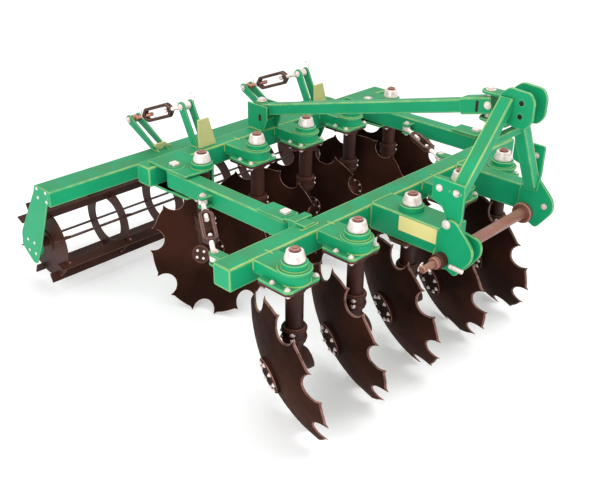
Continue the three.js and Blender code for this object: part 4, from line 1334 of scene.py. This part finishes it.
# --------------------------------------------------------------------------- hitch
@dataclass
class Hitch:
    """Two lower arms with hooked lugs, their cross bar, the mast and the brace."""

    arm_y: Pair = (0.0, 610.0)
    arm_half: Pair = (75.0, 40.0)
    arm_x: Pair = (-164.7, 245.0)
    arm_z: Pair = (588.0, 712.0)
    lug_back: float = 196.0
    lug: float = 15.0
    pin: Pair = (234.0, 591.0)
    bar_radius: float = 26.0
    link_radius: float = 15.0
    centre_y: float = Beams.centre_y
    leg_x: float = 258.0
    leg_size: Pair = (60.0, 46.0)
    crown_bolt: Pair = (240.0, 752.0)
    strut_z: float = 1050.0
    near_leg: tuple[Pair, Pair] = ((-63.0, 873.0), (240.0, 1202.0))
    far_leg: tuple[Pair, Pair] = ((543.0, 743.0), (344.0, 1120.0))
    ear_gap: float = 42.0
    ear: float = 14.0
    holes: tuple[Pair, ...] = ((322.0, 1203.0), (322.0, 1147.0))
    brace_front: Pair = (145.0, 1147.0)
    brace_rear: Pair = Beams.brace_rear

    def build(self) -> None:
        """Makes the hitch."""
        self._arm(0, "right_hitch_arm")
        self._arm(1, "left_hitch_arm")
        self._cross_bar()
        self._mast()
        self._brace()
        self._name_plate()

    def _lug_outline(self, crown: float) -> Outline:
        """The hooked lug: bore low at the back, nose ahead, crown bolted to the mast."""
        px, pz = self.pin
        return rounded([
            [self.lug_back, self.arm_z[0] + 4], *arc(px, pz, 46, 215, 300, 8), [px + 66, pz - 62],
            [px + 104, pz - 10], [px + 138, pz + 36], [px + 140, pz + 76], [px + 124, pz + 106],
            [px + 46, crown], [px + 8, crown], [self.lug_back, self.arm_z[1] - 4]], 22, 5)

    def _arm(self, index: int, name: str) -> None:
        """One lower arm: a box section with two lugs at its front."""
        form, beads, bolts = Form(), Form(), Form()
        y, half = self.arm_y[index], self.arm_half[index]
        x0, x1 = self.arm_x
        z0, z1 = self.arm_z
        out = -1 if index == 0 else 1
        axes = FRONT.at(0, y, (z0 + z1) / 2)
        form.prism(rounded(rectangle(2 * half, z1 - z0), 7), axes, x0, x1 - 14, 3)
        crown = self.pin[1] + 184
        outer = (y + out * half, y + out * (half + self.lug))
        inner_y = y - half + (50 if index == 0 else -self.lug)
        inner = (inner_y, inner_y + self.lug)
        px, pz = self.pin
        boss = rounded([[self.lug_back, z0 + 4], *arc(px, pz, 54, -120, 60, 16), [px - 6, z1 - 4],
                        [self.lug_back, z1 - 4]], 4, 3)
        form.prism(self._lug_outline(crown) if index == 0 else boss, SIDE, *outer, 3.5)
        form.prism(self._lug_outline(z1 - 4 if index == 0 else crown), SIDE, *inner, 3.5)
        face = outer[0] if index == 0 else inner[1]
        beads.bead([[self.lug_back - 2, face - 1, z0 + 12], [self.lug_back - 2, face - 1, z1 - 8]], 4)
        # crown bolt through the mast's foot plate and a round bolt over the bar
        crown_face = outer[1] if index == 0 else inner[0]
        towards = (0, -1, 0)
        bx, bz = self.crown_bolt
        bolts.bolt((bx, crown_face, bz), towards, 15)
        bolts.rod(20, (bx, crown_face, bz), (bx, crown_face - 5, bz), 1.5, 28)
        if index == 0:
            form.sleeve(38, 53, (0, 0, z1 - 2), (0, 0, Beams.ring_top), 44, 3)
            latch_y = outer[1] - 6
            bolts.rod(10, (px + 44, latch_y, pz - 14), (px + 108, latch_y, pz - 18), 2, 24)
            beads.bead([[x, face - 1, z] for x, z in arc(px, pz, 52, 60, 190, 24)], 3.4)
        else:
            bolts.bolt((px + 96, crown_face, pz + 58), towards, 11)
            for dx, dz in ((46, 70), (96, -8), (20, 100)):
                bolts.bolt((px + dx * 0.45, outer[1], pz + dz * 0.3), (0, 1, 0), 10)
        beads.bead([[x0 + 4, y - half - 1, z1 - 6], [x0 + 4, y - half - 1, z0 + 6]], 4)
        beads.bead([[x0 + 3, y - half + 6, z1 + 0.5], [x0 + 3, y + half - 6, z1 + 0.5]], 3.6)
        form.piece(f"{name}_steel", Look.GREEN, "front_frame", (name,))
        beads.piece(f"{name}_welds", Look.WELD, "front_frame")
        bolts.piece(f"{name}_bolts", Look.ZINC, "front_frame")

    def _cross_bar(self) -> None:
        """The lower cross bar with its collars, link pins and linchpins."""
        form, dark, rings, pins = Form(), Form(), Form(), Form()
        x, z = self.pin
        near = self.arm_y[0] - self.arm_half[0] - self.lug
        far = self.arm_y[1] - self.arm_half[1] - self.lug
        left = self.arm_y[1] + self.arm_half[1] + self.lug
        form.rod(self.bar_radius, (x, near - 60, z), (x, left + 65, z), 3, 44)
        dark.rod(34, (x, near - 38, z), (x, near - 0.5, z), 3, 44)
        rings.rod(50, (x, far - 24, z), (x, far - 0.5, z), 6, 48)
        dark.sleeve(26.2, 36, (x, -75 + 66, z), (x, -75 + 92, z), 44, 2)
        form.rod(self.link_radius, (x, near - 135, z), (x, near - 59, z), 3, 28)
        form.rod(self.link_radius, (x, left + 64, z), (x, left + 125, z), 3, 28)
        for y in (near - 112, left + 104):
            pins.rod(4.5, (x - 24, y, z + 4), (x + 26, y, z - 4), 1.2, 14)
            ring = arc(0, 0, 21, 20, 340, 30)
            pins.wire([[x - 22 + v * 0.35, y + u * 0.55 - 4, z + v] for u, v in ring], 2.4)
        form.piece("lower_cross_bar_steel", Look.BAR, "front_frame", ("lower_cross_bar",))
        dark.piece("lower_cross_bar_collars", Look.BROWN, "front_frame")
        rings.piece("lower_cross_bar_ring", Look.BAR, "front_frame")
        pins.piece("lower_cross_bar_linchpins", Look.ZINC, "front_frame")

    def _mast(self) -> None:
        """The mast: two legs on foot plates, two ears and the fork of the brace."""
        form, beads, bolts, dark = Form(), Form(), Form(), Form()
        cy, lx = self.centre_y, self.leg_x
        wide, deep = self.leg_size
        z1 = self.arm_z[1] + 0.3
        foot = rounded([[145, 832], [196, 815], [225, 772], [225, z1], [290, z1], [299, 800], [299, 930],
                        [145, 932]], 10, 4)
        near_face = self.arm_y[0] - self.arm_half[0]
        near = (near_face + 0.3, near_face + 12.3)
        far_face = self.arm_y[1] - self.arm_half[1] - self.lug - 0.3
        form.prism(foot, SIDE, *near, 3)
        form.prism(foot, SIDE, far_face - 12, far_face, 3)
        for (y0, z0), (y2, z2) in (self.near_leg, self.far_leg):
            form.bar((lx, y0, z0), (lx, y2, z2), wide, deep, 7)
        for (y0, z0), (y2, z2), sign in ((*self.near_leg, 1), (*self.far_leg, -1)):
            run = np.array([0, y2 - y0, z2 - z0]) / math.hypot(y2 - y0, z2 - z0)
            out = np.cross(run, (1.0, 0, 0)) * -sign * (deep / 2 - 1)
            for x in (lx - wide / 2 + 2, lx + wide / 2 - 2):
                beads.bead([np.array([x, y0, z0]) + out, np.array([x, y2, z2]) + out], 1.9)
        ear = rounded([[232, 1115], [300, 1097], [352, 1099], [380, 1135], [380, 1218], [358, 1250],
                       [262, 1258], [222, 1226]], 16, 5)
        for s in (-1, 1):
            a, b = cy + s * self.ear_gap, cy + s * (self.ear_gap + self.ear)
            form.prism(ear, SIDE, a, b, 3.5)
            for hx, hz in self.holes:
                form.sleeve(11, 18, (hx, b - s * 2, hz), (hx, b + s * 1.6, hz), 32, 0.6)
                # painted shadow: a dark disc fills each hole where its shaded inside shows
                dark.rod(10.8, (hx, b - s * 1, hz), (hx, b + s * 0.4, hz), 0.2, 32)
        px, pz = self.brace_front
        upper, lower = pz + 50, pz - 54
        form.block((lx - 22, lx), (cy - 46, cy + 46), (lower - 12, upper + 12), 4)
        # the cross piece between the legs
        ends = [(lx, y0 + (y2 - y0) * (self.strut_z - z0) / (z2 - z0), self.strut_z)
                for (y0, z0), (y2, z2) in (self.near_leg, self.far_leg)]
        form.bar(ends[0], ends[1], 34, 34, 6)
        tongue = rounded([[lx - 8, cy + 36], *arc(px, cy, 36, 90, 270, 20), [lx - 8, cy - 36]], 2, 2)
        form.prism(tongue, PLAN, lower - 12, lower, 3)
        form.prism(tongue, PLAN, upper, upper + 12, 3)
        bolts.rod(13, (px, cy, lower - 12), (px, cy, upper + 12), 1, 20)
        bolts.bolt((px, cy, upper + 12), (0, 0, 1), 17)
        bolts.bolt((px, cy, lower - 12), (0, 0, -1), 17)
        bolts.bolt((self.crown_bolt[0], near[1], self.crown_bolt[1]), (0, 1, 0), 14)
        for x in (180, 262):
            bolts.bolt((x, near[0], 890), (0, -1, 0), 12)
            bolts.bolt((x, far_face - 12, 880), (0, -1, 0), 11)
        form.piece("mast_steel", Look.GREEN, "front_frame", ("mast",))
        beads.piece("mast_welds", Look.WELD, "front_frame")
        bolts.piece("mast_bolts", Look.ZINC, "front_frame")
        dark.piece("mast_hole_shadows", Look.LINK, "front_frame")

    def _brace(self) -> None:
        """The brace: a square tube with a thick sleeve at each end."""
        form, bolts, slot_shadows = Form(), Form(), Form()
        (fx, fz), (rx, rz), y = self.brace_front, self.brace_rear, self.centre_y

        def on(x: float, up: float = 0.0) -> Point:
            return (x, y, fz + (fz - rz) / (fx - rx) * (x - fx) + up)

        form.bar(on(fx - 100), on(rx + 60), 58, 60, 7, (0, 0, 1))
        form.bar(on(fx + 31), on(fx - 120), 72, 74, 8, (0, 0, 1))
        form.bar(on(rx + 90), on(rx + 24), 60, 62, 7, (0, 0, 1))
        form.rod(32, (rx, y, rz - 40), (rx, y, rz + 42), 3, 36)
        # the locking slot in the sleeve's side, shown as a dark patch of painted shadow, and its bolt
        slot_shadows.prism(rounded(rectangle(14, 50), 6.9), SIDE.at(*on(fx - 36)), -37.6, 37.6, 0.4)
        bolts.bolt((fx + 14, y - 37, fz + 6), (0, -1, 0), 13)
        form.piece("brace_steel", Look.GREEN, "brace", ("brace",))
        bolts.piece("brace_bolts", Look.ZINC, "brace")
        slot_shadows.piece("brace_slot_shadow", Look.LINK, "brace")

    def _name_plate(self) -> None:
        """The blank plate on the right arm, with a darker rim and four rivets."""
        form, rivets = Form(), Form()
        low, high = -77.3, -75.3
        corners = [[-8, 636], [190, 636], [190, 706], [-8, 706]]
        form.prism(rounded(corners, 6, 4), SIDE, low + 0.3, high, 0.8)
        for x in (2, 180):
            for z in (645, 697):
                rivets.rod(3.4, (x, low + 0.6, z), (x, low - 1.2, z), 0.8, 14)
        form.piece("name_plate_blank", Look.CREAM, "front_frame", ("name_plate",))
        rivets.piece("name_plate_rivets", Look.ZINC, "front_frame")


# -------------------------------------------------------------------------- roller
@dataclass
class Roller:
    """The cage roller and the frame that carries it."""

    radius: float = 220.0
    span: Pair = (-880.0, 1200.0)
    arm: float = 12.0
    rings: int = 6
    slats: int = 8
    ring_outer: float = 196.0
    ring_hole: float = 122.0
    ring: float = 8.0
    ring_inset: float = 44.0
    slat_half: float = 4.0
    slat_width: float = 52.0
    axle: float = 25.0
    beam_x: Pair = (-1640.0, -1500.0)
    beam_z: Pair = (505.0, 585.0)
    beams: Beams = field(default_factory=Beams)

    def build(self) -> None:
        """Makes the roller and its frame."""
        centre = Datum.place("roller_spin")
        self._cage(float(centre[0]), float(centre[2]))
        self._frame(float(centre[0]), float(centre[2]))

    def _cage(self, ax: float, az: float) -> None:
        """Rings with round windows, slats set over them and their bolts."""
        form, bolts = Form(), Form()
        a, b = self.span[0] + self.arm + 32, self.span[1] - self.arm - 32
        inset = self.ring_inset
        length = b - self.ring - a - 2 * inset
        places = [a + inset + length * i / (self.rings - 1) for i in range(self.rings)]
        for i, y in enumerate(places):
            if i in (0, self.rings - 1):
                form.rod(self.ring_outer, (ax, y, az), (ax, y + self.ring, az), 1.5, 64)
                form.rod(60, (ax, y - 5, az), (ax, y + self.ring + 5, az), 2, 40)
            else:
                form.sleeve(self.ring_hole, self.ring_outer, (ax, y, az), (ax, y + self.ring, az), 64, 1.5)
        for i in range(self.slats):
            t = TAU / self.slats * (i + 0.5) + math.pi / 2
            radial = np.array([math.cos(t), 0, -math.sin(t)])
            square = np.array([math.sin(t), 0, math.cos(t)])
            axes = Axes(tuple(radial), tuple(square), (0, 1, 0), (ax, 0, az))
            r0, r1, h = self.radius - self.slat_width, self.radius, self.slat_half
            form.prism(rounded([[r0, -h], [r1, -h], [r1, h], [r0, h]], 1.5, 3), axes, a + 2, b - 2, 1.5)
            for y in places:
                # a small angle that bolts the slat to the ring
                at = axes.solid(np.array([[self.radius - 26, h]]), y + self.ring / 2 + 12)[0]
                bolts.bolt(at, square, 7)
                clip = rounded([[r0 + 8, h], [r1 - 8, h], [r1 - 8, h + 5], [r0 + 8, h + 5]], 1, 2)
                form.prism(clip, axes, y + self.ring - 1, y + self.ring + 26, 1)
        for y0, y1 in ((a - 28, a + inset + 1), (b - inset - 1, b + 28)):
            form.rod(self.axle, (ax, y0, az), (ax, y1, az), 2, 32)
        form.piece("cage_roller_steel", Look.BROWN, "cage_roller", ("cage_roller",))
        bolts.piece("cage_roller_bolts", Look.COPPER, "cage_roller")

    def _frame(self, ax: float, az: float) -> None:
        """Cross beam, end arms with bearings, link ears and hinge tongues."""
        form, beads, bolts, webs = Form(), Form(), Form(), Form()
        (x0, x1), (z0, z1) = self.beam_x, self.beam_z
        axes = SIDE.at((x0 + x1) / 2, 0, (z0 + z1) / 2)
        form.prism(rounded(rectangle(x1 - x0, z1 - z0), 8), axes, self.span[0] + 6, self.span[1] - 6, 2)
        plate = rounded([[x1, z1 + 4], [x0 + 6, z1 + 4], [x0 - 6, z1 - 30], [ax - 88, az + 60],
                         [ax - 104, az - 24], [ax - 12, az - 98], [ax + 24, az - 98],
                         [ax + 96, az + 30]], 18, 5)
        for outer, s in ((self.span[0], 1), (self.span[1], -1)):
            inner = outer + s * self.arm
            form.prism(plate, SIDE, outer + s * 4, inner, 3)
            form.rod(58, (ax, inner - s, az), (ax, inner + s * 26, az), 5, 48)
            for x in (x0 + 8, x1 - 8):
                beads.bead([[x, inner + s, z0 + 2], [x, inner + s, z1 - 2]], 3.6)
            for i in range(4):
                t = TAU * (i + 0.5) / 4
                x, z = ax + 44 * math.cos(t), az + 44 * math.sin(t)
                bolts.rod(8, (x, outer + s * 1.0, z), (x, outer + s * 6, z), 1.5, 14)
            for dx, dz in ((30, -10), (110, -10), (30, -58), (110, -58)):
                at = (x0 + dx, outer + s * 1.0, z1 + dz)
                bolts.rod(8.5, at, (at[0], outer + s * 6, at[2]), 1.5, 14)
        hx, hz = self.beams.hinge
        tongue = rounded([[x1 - 1, z0 + 4], [hx + 20, hz - 22], *arc(hx, hz, 27, -40, 120, 16),
                          [x1 - 1, z1 - 6]], 3, 2)
        for y in self.beams.link_y:
            Beams.link_ears(form, beads, webs, bolts, self.beams.link_rear, y, z1, (x0 + 10, x0 + 84),
                            (60, 230), (x0 + 40, z1 + 35))
            form.prism(tongue, SIDE, y - 36, y + 36, 3)
        form.piece("roller_frame_steel", Look.GREEN, "roller_frame", ("roller_frame",))
        beads.piece("roller_frame_welds", Look.WELD, "roller_frame")
        webs.piece("roller_frame_webs", Look.WEB, "roller_frame")
        bolts.piece("roller_frame_bolts", Look.ZINC, "roller_frame")


# -------------------------------------------------------------------------- studio
@dataclass
class Stage:
    """White floor, soft lamps and the camera."""

    eye: Point = (1.9115, -2.6906, 2.2405)
    heading: float = 133.77
    pitch: float = -27.98
    roll: float = 0.60
    lens: float = 50.29
    floor_half: float = 14.0

    def build(self) -> None:
        """Makes the stage."""
        scene = bpy.context.scene
        scene.view_settings.view_transform = "Standard"
        self._floor()
        self._world(scene)
        self._lamp("key_lamp", (2.6, 0.6, 4.4), 2.4, 62.0)
        self._lamp("top_lamp", (-0.8, 0.6, 5.2), 3.0, 58.0)
        self._lamp("fill_lamp", (1.6, -4.6, 2.4), 3.2, 95.0)
        self._camera(scene)

    def _floor(self) -> None:
        """A flat sheet under the machine."""
        h = self.floor_half
        mesh = bpy.data.meshes.new("studio_floor")
        mesh.from_pydata([(-h, -h, 0), (h, -h, 0), (h, h, 0), (-h, h, 0)], [], [(0, 1, 2, 3)])
        floor = bpy.data.objects.new("studio_floor", mesh)
        bpy.context.scene.collection.objects.link(floor)
        mesh.materials.append(Studio().material())

    @staticmethod
    def _world(scene: bpy.types.Scene) -> None:
        """White to the camera and to gloss, softer as a light."""
        world = bpy.data.worlds.new("studio_world")
        world.use_nodes = True
        tree = world.node_tree
        tree.nodes.clear()
        path = tree.nodes.new("ShaderNodeLightPath")
        either = tree.nodes.new("ShaderNodeMath")
        either.operation = "MAXIMUM"
        tree.links.new(path.outputs["Is Camera Ray"], either.inputs[0])
        tree.links.new(path.outputs["Is Transmission Ray"], either.inputs[1])
        strength = tree.nodes.new("ShaderNodeMapRange")
        strength.inputs["To Min"].default_value = 0.78
        strength.inputs["To Max"].default_value = 1.0
        tree.links.new(either.outputs[0], strength.inputs["Value"])
        background = tree.nodes.new("ShaderNodeBackground")
        background.inputs["Color"].default_value = (1.0, 1.0, 1.0, 1.0)
        tree.links.new(strength.outputs[0], background.inputs["Strength"])
        output = tree.nodes.new("ShaderNodeOutputWorld")
        tree.links.new(background.outputs[0], output.inputs["Surface"])
        scene.world = world

    @staticmethod
    def _lamp(name: str, place: Point, size: float, power: float) -> None:
        """A square soft box aimed at the machine's middle."""
        light = bpy.data.lights.new(name, "AREA")
        light.size = size
        light.energy = power
        lamp = bpy.data.objects.new(name, light)
        lamp.location = place
        lamp.rotation_euler = (Vector((0, 0, 0.5)) - Vector(place)).to_track_quat("-Z", "Y").to_euler()
        bpy.context.scene.collection.objects.link(lamp)

    def _camera(self, scene: bpy.types.Scene) -> None:
        """The camera at the viewing angle."""
        data = bpy.data.cameras.new("camera")
        data.lens = self.lens
        data.sensor_width = 36.0
        camera = bpy.data.objects.new("camera", data)
        heading, pitch, roll = map(math.radians, (self.heading, self.pitch, self.roll))
        ahead = Vector((math.cos(heading) * math.cos(pitch), math.sin(heading) * math.cos(pitch),
                        math.sin(pitch)))
        right = Vector((math.sin(heading), -math.cos(heading), 0))
        up = right.cross(ahead)
        right, up = (math.cos(roll) * right + math.sin(roll) * up,
                     math.cos(roll) * up - math.sin(roll) * right)
        turn = Matrix((right, up, -ahead)).transposed()
        camera.matrix_world = Matrix.Translation(Vector(self.eye) + Vector(Datum.origin)) @ turn.to_4x4()
        scene.collection.objects.link(camera)
        scene.camera = camera


def main() -> None:
    """Builds the harrow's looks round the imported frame."""
    logging.basicConfig(level=logging.INFO, format="%(name)s %(message)s")
    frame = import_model()
    Datum.read(frame)
    columns = Columns()
    columns.build()
    Beams().build(columns)
    Turnbuckles().build()
    Hitch().build()
    Roller().build()
    disc = Disc()
    for row, turns in disc.turns.items():
        for index in range(1, len(turns) + 1):
            disc.build(row, index)
    Stage().build()


if __name__ == "__main__":
    main()
